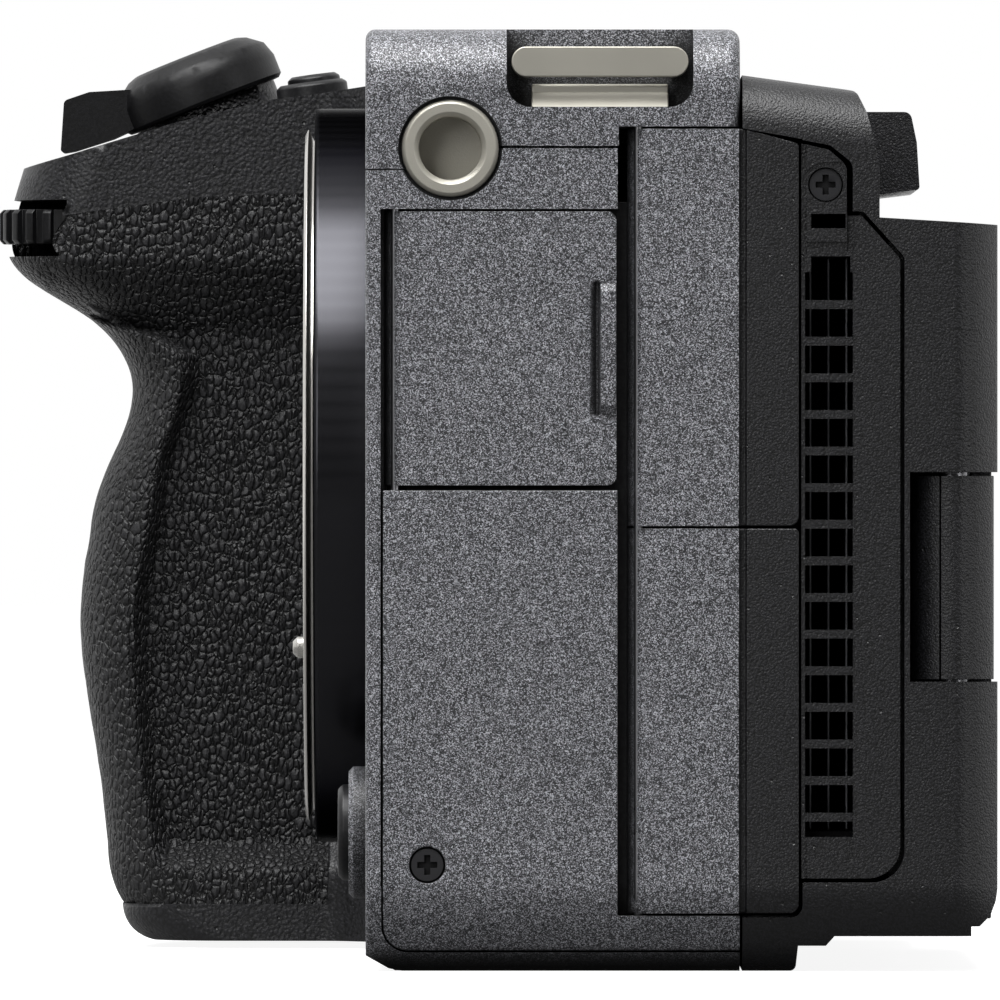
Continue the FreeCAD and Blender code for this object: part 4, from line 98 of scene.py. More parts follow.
class Slot(Enum):
    """Material slots of the record."""

    GREY_METAL = "grey_metal"
    GLOSS_BLACK = "gloss_black"
    BRIGHT_STEEL = "bright_steel"
    BLACK_SCREW = "black_screw"
    BLACK_PLASTIC = "black_plastic"
    CAST_ALLOY = "cast_alloy"
    SENSOR_UNIT = "sensor_unit"
    FILTER_GLASS = "filter_glass"
    CIRCUIT_BOARD = "circuit_board"
    BARE_ALUMINIUM = "bare_aluminium"
    LAMP_LENS = "lamp_lens"
    BUTTON_BLACK = "button_black"
    NICKEL_INSERT = "nickel_insert"
    SATIN_SILVER = "satin_silver"
    SHOE_BLACK = "shoe_black"
    BASE_BLACK = "base_black"
    MOULDING_BLACK = "moulding_black"
    PIN_STEEL = "pin_steel"
    DIAL_BLACK = "dial_black"
    SCREEN_GLASS = "screen_glass"
    LEATHERETTE = "leatherette"
    GRIP_BLACK = "grip_black"
    BATTERY_CASE = "battery_case"


def linear(hex_code: str) -> tuple[float, float, float, float]:
    """Turn an sRGB hex colour into a linear colour with full alpha.

    Args:
        hex_code: colour such as "#8899aa".

    Returns:
        Red, green, blue and alpha as Blender's sockets take them.
    """
    parts = [int(hex_code[i : i + 2], 16) / 255 for i in (1, 3, 5)]
    curve = [p / 12.92 if p <= 0.04045 else ((p + 0.055) / 1.055) ** 2.4 for p in parts]
    return (curve[0], curve[1], curve[2], 1.0)


def add_node(
    tree: NodeTree, kind: str, options: dict | None = None, values: dict | None = None,
    links: dict | None = None,
) -> Node:
    """Add one shader node, set it up and link what feeds it.

    Args:
        tree: node tree that gets the node.
        kind: Blender's name for the node type.
        options: the node's own properties.
        values: values of input sockets, by name or number.
        links: output sockets that feed inputs, by the input's name or number.

    Returns:
        The new node.
    """
    made = tree.nodes.new(kind)
    for name, value in (options or {}).items():
        setattr(made, name, value)
    for name, value in (values or {}).items():
        made.inputs[name].default_value = value
    for name, source in (links or {}).items():
        tree.links.new(source, made.inputs[name])
    return made


def pattern_space(
    tree: NodeTree,
    cell_mm: float,
    stretch: tuple[float, float, float] = (1.0, 1.0, 1.0),
    centre: tuple[float, float, float] = (0.0, 0.0, 0.0),
) -> NodeSocket:
    """Give object coordinates in which one unit is one cell of a pattern.

    Args:
        tree: node tree that gets the nodes.
        cell_mm: size of one cell of the pattern.
        stretch: how much longer a cell is along each axis.
        centre: point of the object that becomes the pattern's middle.

    Returns:
        The socket with the scaled coordinates.
    """
    scale = [1.0 / (cell_mm * MM * s) for s in stretch]
    shift = [-c * s for c, s in zip(centre, scale)]
    place = add_node(tree, "ShaderNodeTexCoord")
    return add_node(
        tree, "ShaderNodeMapping", values={"Scale": scale, "Location": shift},
        links={"Vector": place.outputs["Object"]},
    ).outputs["Vector"]


@dataclass(frozen=True)
class Finish:
    """A surface finish. Subclasses add the pattern that tells one material from another."""

    name: str
    colour: str
    roughness: float = 0.5
    metallic: float = 0.0
    grain_mm: float = 0.3
    relief_mm: float = 0.01

    def material(self) -> Material:
        """Build the material.

        Returns:
            The finished material.
        """
        made = bpy.data.materials.new(self.name)
        made.use_nodes = True
        tree = made.node_tree
        shader = tree.nodes["Principled BSDF"]
        shader.inputs["Base Color"].default_value = linear(self.colour)
        shader.inputs["Roughness"].default_value = self.roughness
        shader.inputs["Metallic"].default_value = self.metallic
        self.detail(tree, shader)
        return made

    def detail(self, tree: NodeTree, shader: Node) -> None:
        """Add the pattern of the surface.

        Args:
            tree: node tree of the material.
            shader: its principled shader.
        """
        raise NotImplementedError

    def relief(self, tree: NodeTree, shader: Node, height: NodeSocket) -> None:
        """Turn a height between 0 and 1 into surface relief.

        Args:
            tree: node tree of the material.
            shader: the principled shader that gets the relief.
            height: socket with the height.
        """
        depth = {"Distance": self.relief_mm * MM}
        bump = add_node(tree, "ShaderNodeBump", values=depth, links={"Height": height})
        tree.links.new(bump.outputs["Normal"], shader.inputs["Normal"])

    def uneven_gloss(
        self, tree: NodeTree, shader: Node, pattern: NodeSocket, below: float = 0.08, above: float = 0.08
    ) -> None:
        """Let a pattern between 0 and 1 vary the roughness.

        Args:
            tree: node tree of the material.
            shader: the principled shader whose gloss varies.
            pattern: socket with the pattern.
            below: how far the roughness falls under its mean.
            above: how far it rises over it.
        """
        span = {"To Min": max(self.roughness - below, 0.02), "To Max": self.roughness + above}
        gloss = add_node(tree, "ShaderNodeMapRange", values=span, links={"Value": pattern})
        tree.links.new(gloss.outputs["Result"], shader.inputs["Roughness"])

    def with_painted_shade(self, tree: NodeTree, seam_mm: float) -> Node:
        """Darken seams and turned-in edges softly with painted shade, where less light reaches them.

        Args:
            tree: node tree of the material.
            seam_mm: how far from an inner corner the painted shade reaches.

        Returns:
            The node that mixes the painted shade with the unshaded colour in its input B.
        """
        open_air = add_node(
            tree, "ShaderNodeAmbientOcclusion", {"samples": 8}, {"Distance": seam_mm * MM}
        )
        unshaded = add_node(
            tree, "ShaderNodeMath", {"operation": "POWER"}, {1: PAINTED_SHADE_POWER},
            {0: open_air.outputs["AO"]},
        )
        return add_node(
            tree, "ShaderNodeMix", {"data_type": "RGBA"},
            {"A": linear(PAINTED_SHADE_COLOUR), "B": linear(self.colour)}, {"Factor": unshaded.outputs["Value"]},
        )


@dataclass(frozen=True)
class SparklePaint(Finish):
    """Textured metallic paint: grey with fine dark and bright grains that glitter a little."""

    light: str = "#a9aab0"
    # The power that leaves most grains dark, and how much the clouds dim and lift them
    sparse: float = 3.3
    clouding: tuple[float, float] = (0.85, 1.2)
    cloud_mm: float = 0.28
    seam_mm: float = 2.2

    def detail(self, tree: NodeTree, shader: Node) -> None:
        """Add grains of differing tone, faint clouds, shade painted into the seams and the relief that
        scatters highlights.

        Args:
            tree: node tree of the material.
            shader: its principled shader.
        """
        space = pattern_space(tree, self.grain_mm)
        grains = add_node(
            tree, "ShaderNodeTexVoronoi", values={"Scale": 1.0}, links={"Vector": space}
        )
        lot = add_node(tree, "ShaderNodeSeparateColor", links={0: grains.outputs["Color"]})
        clouds = add_node(
            tree, "ShaderNodeTexNoise", values={"Scale": 1.0, "Detail": 1.0},
            links={"Vector": pattern_space(tree, self.cloud_mm)},
        )
        dim, lift = self.clouding
        uneven = add_node(
            tree, "ShaderNodeMapRange",
            values={"From Min": 0.3, "From Max": 0.7, "To Min": dim, "To Max": lift},
            links={"Value": clouds.outputs["Fac"]},
        )
        bright = add_node(
            tree, "ShaderNodeMath", {"operation": "POWER"}, {1: self.sparse},
            {0: lot.outputs["Red"]},
        )
        spread = add_node(
            tree, "ShaderNodeMath", {"operation": "MULTIPLY", "use_clamp": True},
            links={0: bright.outputs["Value"], 1: uneven.outputs["Result"]},
        )
        tone = add_node(
            tree, "ShaderNodeMix", {"data_type": "RGBA"},
            {"A": linear(self.colour), "B": linear(self.light)},
            {"Factor": spread.outputs["Value"]},
        )
        # Shade is painted into seams and turned-in edges as a darker colour
        painted_shade = self.with_painted_shade(tree, self.seam_mm)
        tree.links.new(tone.outputs["Result"], painted_shade.inputs["B"])
        tree.links.new(painted_shade.outputs["Result"], shader.inputs["Base Color"])
        self.relief(tree, shader, lot.outputs["Green"])


@dataclass(frozen=True)
class Moulding(Finish):
    """Black plastic from an etched mould: irregular low bumps with a dull, slightly uneven gloss."""

    shine: float = 0.5
    valley: str = "#08080a"
    # Distance between pores, then the widest one, its soft edge and its depth, in cells of the pattern
    pore_mm: float = 0.0
    pore_wide: float = 0.22
    pore_edge: float = 0.12
    pore_deep: float = 1.6

    def detail(self, tree: NodeTree, shader: Node) -> None:
        """Add the mould's grain in two sizes, its darker valleys and a slightly uneven gloss.

        Args:
            tree: node tree of the material.
            shader: its principled shader.
        """
        shader.inputs["Specular IOR Level"].default_value = self.shine
        space = pattern_space(tree, self.grain_mm)
        grain = add_node(
            tree, "ShaderNodeTexNoise", values={"Scale": 1.0, "Detail": 3.0, "Roughness": 0.6},
            links={"Vector": space},
        )
        bumps = add_node(
            tree, "ShaderNodeTexVoronoi", {"feature": "SMOOTH_F1"},
            {"Scale": 0.8, "Smoothness": 0.6}, {"Vector": space},
        )
        height = add_node(
            tree, "ShaderNodeMath", {"operation": "SUBTRACT"},
            links={0: grain.outputs["Fac"], 1: bumps.outputs["Distance"]},
        ).outputs["Value"]
        if self.pore_mm > 0:
            height = self.with_pores(tree, height)
        # The valleys and pores are painted darker, because shade this fine doesn't show in the render
        shade = add_node(
            tree, "ShaderNodeMapRange", {"interpolation_type": "SMOOTHSTEP"},
            {"From Min": -0.2, "From Max": 0.25}, {"Value": height},
        )
        tone = add_node(
            tree, "ShaderNodeMix", {"data_type": "RGBA"},
            {"A": linear(self.valley), "B": linear(self.colour)},
            {"Factor": shade.outputs["Result"]},
        )
        tree.links.new(tone.outputs["Result"], shader.inputs["Base Color"])
        self.relief(tree, shader, height)
        self.uneven_gloss(tree, shader, grain.outputs["Fac"])

    def with_pores(self, tree: NodeTree, height: NodeSocket) -> NodeSocket:
        """Sink scattered pores into the grain.

        Args:
            tree: node tree of the material.
            height: socket with the height of the grain.

        Returns:
            The socket with the height of grain and pores.
        """
        cells = add_node(
            tree, "ShaderNodeTexVoronoi", values={"Scale": 1.0},
            links={"Vector": pattern_space(tree, self.pore_mm)},
        )
        lot = add_node(tree, "ShaderNodeSeparateColor", links={0: cells.outputs["Color"]})
        size = add_node(
            tree, "ShaderNodeMapRange",
            values={"From Min": 0.5, "From Max": 1.0, "To Min": 0.0, "To Max": self.pore_wide},
            links={"Value": lot.outputs["Red"]},
        )
        inside = add_node(
            tree, "ShaderNodeMath", {"operation": "SUBTRACT"},
            links={0: size.outputs["Result"], 1: cells.outputs["Distance"]},
        )
        depth = add_node(
            tree, "ShaderNodeMapRange", {"interpolation_type": "SMOOTHSTEP"},
            {"From Min": 0.0, "From Max": self.pore_edge, "To Min": 0.0, "To Max": self.pore_deep},
            {"Value": inside.outputs["Value"]},
        )
        return add_node(
            tree, "ShaderNodeMath", {"operation": "SUBTRACT"},
            links={0: height, 1: depth.outputs["Result"]},
        ).outputs["Value"]


@dataclass(frozen=True)
class Leatherette(Finish):
    """Pressed leather-like cover: upright pebbles with creases between them."""

    # The creases' colour is painted shade between the pebbles
    crease: str = "#060607"
    fine_mm: float = 0.2
    shine: float = 0.5
    # A pebble is taller than wide, and its outline sways by this share of its size
    upright: tuple[float, float, float] = (0.85, 0.85, 1.35)
    sway: float = 0.9
    crease_wide: float = 0.22
    # How much the domes and the fine grain add to the height of the creases' banks
    dome_share: float = -1.3
    fine_share: float = 0.2

    def detail(self, tree: NodeTree, shader: Node) -> None:
        """Add pebbles of two sizes, shade painted into the creases and a fine grain on the pebbles.

        Args:
            tree: node tree of the material.
            shader: its principled shader.
        """
        shader.inputs["Specular IOR Level"].default_value = self.shine
        space = pattern_space(tree, self.grain_mm, self.upright)
        sway = add_node(
            tree, "ShaderNodeTexNoise", values={"Scale": 0.9, "Detail": 2.0},
            links={"Vector": space},
        )
        bent = add_node(
            tree, "ShaderNodeVectorMath", {"operation": "MULTIPLY_ADD"}, {1: (self.sway,) * 3},
            {0: sway.outputs["Color"], 2: space},
        )
        pebbles = add_node(
            tree, "ShaderNodeTexVoronoi", {"feature": "DISTANCE_TO_EDGE"}, {"Scale": 1.0},
            {"Vector": bent.outputs["Vector"]},
        )
        crown = add_node(
            tree, "ShaderNodeMapRange", {"interpolation_type": "SMOOTHSTEP"},
            {"From Min": 0.0, "From Max": self.crease_wide}, {"Value": pebbles.outputs["Distance"]},
        )
        middles = add_node(
            tree, "ShaderNodeTexVoronoi", values={"Scale": 1.0},
            links={"Vector": bent.outputs["Vector"]},
        )
        dome = add_node(
            tree, "ShaderNodeMath", {"operation": "MULTIPLY_ADD"}, {1: self.dome_share},
            {0: middles.outputs["Distance"], 2: crown.outputs["Result"]},
        )
        fine = add_node(
            tree, "ShaderNodeTexNoise", values={"Scale": 1.0, "Detail": 2.0},
            links={"Vector": pattern_space(tree, self.fine_mm)},
        )
        height = add_node(
            tree, "ShaderNodeMath", {"operation": "MULTIPLY_ADD"}, {1: self.fine_share},
            {0: fine.outputs["Fac"], 2: dome.outputs["Value"]},
        )
        self.relief(tree, shader, height.outputs["Value"])
        # The creases are painted darker: painted shade between the pebbles
        tone = add_node(
            tree, "ShaderNodeMix", {"data_type": "RGBA"},
            {"A": linear(self.crease), "B": linear(self.colour)},
            {"Factor": crown.outputs["Result"]},
        )
        tree.links.new(tone.outputs["Result"], shader.inputs["Base Color"])


@dataclass(frozen=True)
class TurnedMetal(Finish):
    """Metal turned on a lathe about the lens axis: fine rings in the gloss."""

    rim: str = "#ffffff"
    axis: tuple[float, float, float] = (0.0, 0.0, LENS_HEIGHT)

    def detail(self, tree: NodeTree, shader: Node) -> None:
        """Add the tool's rings to the relief and the gloss.

        Args:
            tree: node tree of the material.
            shader: its principled shader.
        """
        shader.inputs["Specular Tint"].default_value = linear(self.rim)
        rings = add_node(
            tree, "ShaderNodeTexWave", {"wave_type": "RINGS", "rings_direction": "X"},
            {"Scale": 1.0, "Distortion": 0.0, "Detail": 0.0},
            {"Vector": pattern_space(tree, self.grain_mm, centre=self.axis)},
        )
        self.uneven_gloss(tree, shader, rings.outputs["Fac"], 0.05, 0.1)
        self.relief(tree, shader, rings.outputs["Fac"])


@dataclass(frozen=True)
class WornMetal(Finish):
    """Bare, plated or blackened metal: soft clouds in the gloss and a faint tooth."""

    cloud_mm: float = 3.0
    shine: float = 0.5
    seam_mm: float = 0.0

    def detail(self, tree: NodeTree, shader: Node) -> None:
        """Add shade painted into the seams if seam_mm is set, clouds to the gloss and fine relief.

        Args:
            tree: node tree of the material.
            shader: its principled shader.
        """
        shader.inputs["Specular IOR Level"].default_value = self.shine
        # Shade is painted into seams and turned-in edges as a darker colour
        if self.seam_mm > 0:
            painted_shade = self.with_painted_shade(tree, self.seam_mm)
            tree.links.new(painted_shade.outputs["Result"], shader.inputs["Base Color"])
        clouds = add_node(
            tree, "ShaderNodeTexNoise", values={"Scale": 1.0, "Detail": 3.0},
            links={"Vector": pattern_space(tree, self.cloud_mm)},
        )
        self.uneven_gloss(tree, shader, clouds.outputs["Fac"])
        tooth = add_node(
            tree, "ShaderNodeTexNoise", values={"Scale": 1.0, "Detail": 2.0},
            links={"Vector": pattern_space(tree, self.grain_mm)},
        )
        self.relief(tree, shader, tooth.outputs["Fac"])


@dataclass(frozen=True)
class Gloss(Finish):
    """Polished plastic or coated glass: a clear hard surface with faint orange peel."""

    coat: float = 0.5
    coat_roughness: float = 0.06
    see_through: float = 0.0

    def detail(self, tree: NodeTree, shader: Node) -> None:
        """Add the clear surface layer and its slight unevenness.

        Args:
            tree: node tree of the material.
            shader: its principled shader.
        """
        shader.inputs["Coat Weight"].default_value = self.coat
        shader.inputs["Coat Roughness"].default_value = self.coat_roughness
        shader.inputs["Transmission Weight"].default_value = self.see_through
        peel = add_node(
            tree, "ShaderNodeTexNoise", values={"Scale": 1.0, "Detail": 1.0},
            links={"Vector": pattern_space(tree, self.grain_mm)},
        )
        self.uneven_gloss(tree, shader, peel.outputs["Fac"], 0.03, 0.05)
        self.relief(tree, shader, peel.outputs["Fac"])


@dataclass(frozen=True)
class CircuitBoard(Finish):
    """Solder mask over copper tracks: straight raised lines, a little lighter than the board."""

    track: str = "#1f6b3c"
    track_wide: float = 0.06

    def detail(self, tree: NodeTree, shader: Node) -> None:
        """Add the tracks.

        Args:
            tree: node tree of the material.
            shader: its principled shader.
        """
        board = linear(self.colour)
        tracks = add_node(
            tree, "ShaderNodeTexBrick",
            values={"Scale": 1.0, "Mortar Size": self.track_wide, "Color1": board, "Color2": board,
                    "Mortar": linear(self.track)},
            links={"Vector": pattern_space(tree, self.grain_mm)},
        )
        tree.links.new(tracks.outputs["Color"], shader.inputs["Base Color"])
        self.relief(tree, shader, tracks.outputs["Fac"])


FINISHES: dict[Slot, Finish] = {
    # Fine grey metallic powder paint on the cast covers: cool grey with a glitter of grains, and shade
    # painted into the seams
    Slot.GREY_METAL: SparklePaint(
        "metallic_powder_paint", "#18191c", 0.42, 0.1, grain_mm=0.075, relief_mm=0.014, light="#c9cad1"
    ),
    # Black anodised aluminium round the mount, with a soft sheen from the lathe
    Slot.GLOSS_BLACK: TurnedMetal(
        "black_anodised_aluminium", "#3a3a3d", 0.28, 1.0, relief_mm=0.0006, rim="#303032"
    ),
    # Bright lathe-turned stainless steel of the bayonet
    Slot.BRIGHT_STEEL: TurnedMetal(
        "turned_stainless_steel", "#cfcdc8", 0.24, 1.0, grain_mm=0.25, relief_mm=0.0006
    ),
    # Blackened steel screw heads, with shade painted into their recess and round their rims
    Slot.BLACK_SCREW: WornMetal(
        "blackened_steel", "#29292b", grain_mm=0.2, relief_mm=0.004, shine=0.2, seam_mm=0.9
    ),
    # Dull black moulding inside the body
    Slot.BLACK_PLASTIC: Moulding("matt_black_moulding", "#121213", 0.7, relief_mm=0.02, shine=0.2),
    # Bare die-cast alloy of the frame
    Slot.CAST_ALLOY: WornMetal("die_cast_alloy", "#a3a4a6", 0.45, 1.0, grain_mm=0.35, relief_mm=0.02),
    # Ceramic carrier round the image sensor
    Slot.SENSOR_UNIT: Moulding(
        "sensor_carrier_ceramic", "#2b2d33", 0.4, grain_mm=0.25, relief_mm=0.006, valley="#202227"
    ),
    # Coated filter glass with a faint green tint
    Slot.FILTER_GLASS: Gloss(
        "coated_filter_glass", "#c6dcd8", 0.04, grain_mm=2.0, relief_mm=0.0005, coat=0.3,
        see_through=0.9,
    ),
    # Green solder mask on the electronics board
    Slot.CIRCUIT_BOARD: CircuitBoard(
        "solder_mask_board", "#12472a", 0.4, grain_mm=1.4, relief_mm=0.02
    ),
    # Bare extruded aluminium of the heat sink
    Slot.BARE_ALUMINIUM: WornMetal(
        "extruded_aluminium", "#8e8f92", 0.4, 1.0, grain_mm=0.15, relief_mm=0.006
    ),
    # Dark red clear plastic in front of the tally lamp
    Slot.LAMP_LENS: Gloss("red_lamp_plastic", "#4a0d0d", 0.12, grain_mm=1.0, relief_mm=0.001),
    # Satin black moulding of the buttons
    Slot.BUTTON_BLACK: Moulding(
        "satin_black_moulding", "#18181a", 0.4, grain_mm=0.22, relief_mm=0.006, shine=0.35,
        valley="#101012",
    ),
    # Nickel plate on the threaded inserts and socket shells
    Slot.NICKEL_INSERT: WornMetal(
        "nickel_plated_brass", "#aca99f", 0.44, 0.6, grain_mm=0.14, relief_mm=0.02
    ),
    # Satin bright metal of the strap bars
    Slot.SATIN_SILVER: WornMetal(
        "satin_chromed_zinc", "#b0ada3", 0.5, 0.85, grain_mm=0.12, relief_mm=0.003
    ),
    # Black painted spring steel of the accessory shoe
    Slot.SHOE_BLACK: WornMetal("black_painted_steel", "#232325", 0.42, 0.3, grain_mm=0.2),
    # Dull black paint on the base plate
    Slot.BASE_BLACK: WornMetal(
        "matt_black_paint", "#0b0b0c", 0.7, grain_mm=0.22, relief_mm=0.012, shine=0.1
    ),
    # Textured black polycarbonate of the rear cover, vent and monitor
    Slot.MOULDING_BLACK: Moulding(
        "textured_polycarbonate", "#1a1a1d", 0.38, grain_mm=0.15, relief_mm=0.04, valley="#070708",
        pore_mm=0.9,
    ),
    # Ground steel of the hinge pins
    Slot.PIN_STEEL: WornMetal("ground_steel", "#97979a", 0.3, 1.0, grain_mm=0.15, relief_mm=0.002),
    # Satin black moulding of the knurled dials
    Slot.DIAL_BLACK: Moulding(
        "satin_dial_moulding", "#0f0f11", 0.42, grain_mm=0.25, relief_mm=0.006, shine=0.28,
        valley="#0a0a0b",
    ),
    # Black-backed cover glass of the monitor
    Slot.SCREEN_GLASS: Gloss(
        "screen_cover_glass", "#07070a", 0.06, grain_mm=4.0, relief_mm=0.0008, coat=1.0
    ),
    # Pebbled synthetic leather bonded to the grip
    Slot.LEATHERETTE: Leatherette(
        "bonded_leatherette", "#1f1f21", grain_mm=0.66, relief_mm=0.16, fine_mm=0.13, shine=0.4
    ),
    # Pebbled black polycarbonate of the grip's top and foot
    Slot.GRIP_BLACK: Moulding(
        "pebbled_polycarbonate", "#1d1d20", 0.4, grain_mm=0.26, relief_mm=0.06, shine=0.45, pore_mm=1.1
    ),
    # Dark grey moulding of the battery
    Slot.BATTERY_CASE: Moulding(
        "battery_abs", "#36363a", 0.55, grain_mm=0.25, shine=0.4, valley="#2a2a2e"
    ),
}


@dataclass
class Palette:
    """Makes each material once and hands it out by slot."""

    made: dict[Slot, Material] = field(default_factory=dict)

    def paint(self, piece: Object, slot: Slot) -> None:
        """Give a piece one material all over.

        Args:
            piece: object to dress.
            slot: the record's slot that says which finish it has.
        """
        if slot not in self.made:
            self.made[slot] = FINISHES[slot].material()
        piece.data.materials.clear()
        piece.data.materials.append(self.made[slot])


def take(piece: Object) -> None:
    """Make a piece the only selected one and the active one.

    Args:
        piece: object for the operators that follow.
    """
    bpy.ops.object.select_all(action="DESELECT")
    piece.select_set(True)
    bpy.context.view_layer.objects.active = piece


@contextmanager
def editing(piece: Object) -> Iterator[None]:
    """Open a piece in edit mode with all of it selected, and close it again.

    Args:
        piece: piece to edit.

    Yields:
        Nothing, while the piece is open.
    """
    take(piece)
    bpy.ops.object.mode_set(mode="EDIT")
    bpy.ops.mesh.select_all(action="SELECT")
    yield
    bpy.ops.object.mode_set(mode="OBJECT")


def cut_rows(piece: Object, axis: Axis, places: list[float]) -> None:
    """Cut a piece's faces along planes across one axis, so that it can bend there.

    Args:
        piece: piece to cut.
        axis: axis across which the planes lie.
        places: where the planes lie on that axis.
    """
    across = [0.0, 0.0, 0.0]
    across[axis] = 1.0
    with editing(piece):
        for place in places:
            bpy.ops.mesh.select_all(action="SELECT")
            bpy.ops.mesh.bisect(plane_co=[place * a for a in across], plane_no=across)


def smooth_step(value: float) -> float:
    """Give the soft step of a value between 0 and 1."""
    held = min(max(value, 0.0), 1.0)
    return held * held * (3.0 - 2.0 * held)


@dataclass(frozen=True)
class Edges:
    """How the edges of a piece are softened."""

    width_mm: float = 0.15
    segments: int = 2
    bevel_angle: float = 38.0
    smooth_angle: float = 50.0


@dataclass(frozen=True)
class Cage:
    """A cage of points round part of the body that pulls a piece a little, row by row.

    The rows follow the axis `along`, and the cage's lower side moves along `axis`.
    """

    name: str
    low_mm: tuple[float, float, float]
    high_mm: tuple[float, float, float]
    axis: Axis
    shifts_mm: tuple[float, ...]
    along: Axis = Axis.Z

    def reaches(self, piece: Object) -> bool:
        """Tell whether the cage pulls any point of a piece.

        Args:
            piece: piece whose points are tested.

        Returns:
            True if a point lies on the cage's pulling side, at the height of its rows.
        """
        inner, top = self.high_mm[self.axis] * MM, self.high_mm[self.along] * MM
        low = self.low_mm[self.along] * MM
        points = [p.co for p in piece.data.vertices]
        return any(p[self.axis] < inner and low < p[self.along] < top for p in points)

    def pull(self, piece: Object) -> None:
        """Cut a piece into the cage's rows and move each row by its shift.

        Args:
            piece: piece to reshape.
        """
        low, high = Vector(self.low_mm) * MM, Vector(self.high_mm) * MM
        step = (high[self.along] - low[self.along]) / (len(self.shifts_mm) - 1)
        cut_rows(piece, self.along, [low[self.along] + i * step for i in range(len(self.shifts_mm))])
        data = bpy.data.lattices.new(self.name)
        counts = [2, 2, 2]
        counts[self.along] = len(self.shifts_mm)
        data.points_u, data.points_v, data.points_w = counts
        for way in "uvw":
            setattr(data, f"interpolation_type_{way}", "KEY_LINEAR")
        corners = [Vector(data.points[i].co) for i in (0, len(data.points) - 1)]
        size = corners[1] - corners[0]
        cage = bpy.data.objects.new(self.name, data)
        bpy.context.collection.objects.link(cage)
        cage.scale = [(top - base) / side for top, base, side in zip(high, low, size)]
        cage.location = [base - c * s for base, c, s in zip(low, corners[0], cage.scale)]
        for index, point in enumerate(data.points):
            place = (
                index % counts[0],
                index // counts[0] % counts[1],
                index // (counts[0] * counts[1]),
            )
            if place[self.axis] == 0:
                moved = Vector(point.co)
                moved[self.axis] += self.shifts_mm[place[self.along]] * MM / cage.scale[self.axis]
                point.co_deform = moved
        bend = piece.modifiers.new("cage", "LATTICE")
        bend.object = cage
        bpy.context.view_layer.update()
        take(piece)
        bpy.ops.object.modifier_apply(modifier=bend.name)
        bpy.data.objects.remove(cage)
        bpy.data.lattices.remove(data)


@dataclass(frozen=True)
class FingerHollow:
    """The hollow for the finger tips in the grip's inner side."""

    # Heights and how far forward the hollow's front wall starts there
    crease_mm: tuple[tuple[float, float], ...] = (
        (5.0, -36.2), (9.4, -36.6), (11.1, -37.0), (16.3, -37.7), (21.5, -38.1), (25.9, -38.35),
        (30.2, -38.2), (33.7, -37.65), (37.2, -36.9), (42.4, -36.2), (45.9, -34.9), (49.8, -33.8),
        (51.6, -34.0), (53.2, -37.0), (54.4, -41.0), (55.4, -46.0), (62.0, -47.0),
    )
    depth_mm: float = 2.8
    wall_mm: float = 1.6
    sill_mm: tuple[float, float] = (6.6, 9.4)
    brow_mm: tuple[float, float] = (59.5, 53.6)
    # Rows of new points: their axis, the first one's place, their distance and number
    rows_mm: tuple[tuple[Axis, float, float, int], ...] = (
        (Axis.Z, 5.0, 0.75, 76),
        (Axis.X, -47.0, 0.5, 45),
    )
    # Where the pressing fades out across the grip, so that the wall behind stays as it is
    fades_mm: tuple[tuple[str, float, float], ...] = (
        ("grip_leatherette", 50.5, 58.0),
        ("grip_frame", 50.2, 52.2),
    )

    def crease(self, height_mm: float) -> float:
        """Give how far forward the hollow reaches at a height.

        Args:
            height_mm: height above the base.

        Returns:
            The X where its front wall starts.
        """
        for (low, start), (high, end) in zip(self.crease_mm, self.crease_mm[1:]):
            if height_mm <= high:
                part = min(max((height_mm - low) / (high - low), 0.0), 1.0)
                return start + part * (end - start)
        return self.crease_mm[-1][1]

    def depth(self, x_mm: float, z_mm: float) -> float:
        """Give the hollow's depth at a place of the grip's side.

        Args:
            x_mm: place along the body.
            z_mm: height above the base.

        Returns:
            The depth in millimetres.
        """
        front = smooth_step((x_mm - self.crease(z_mm)) / self.wall_mm)
        low, full = self.sill_mm
        sill = smooth_step((z_mm - low) / (full - low))
        high, whole = self.brow_mm
        brow = min(max((high - z_mm) / (high - whole), 0.0), 1.0)
        return self.depth_mm * front * sill * brow

    def press(self, name: str, piece: Object) -> None:
        """Press the hollow into a piece.

        Args:
            name: the node's name.
            piece: its copy.
        """
        for axis, first, step, count in self.rows_mm:
            cut_rows(piece, axis, [(first + step * i) * MM for i in range(count)])
        near, far = {fade[0]: fade[1:] for fade in self.fades_mm}[name]
        for point in piece.data.vertices:
            share = min(max((far - point.co.y / MM) / (far - near), 0.0), 1.0)
            point.co.y += share * self.depth(point.co.x / MM, point.co.z / MM) * MM


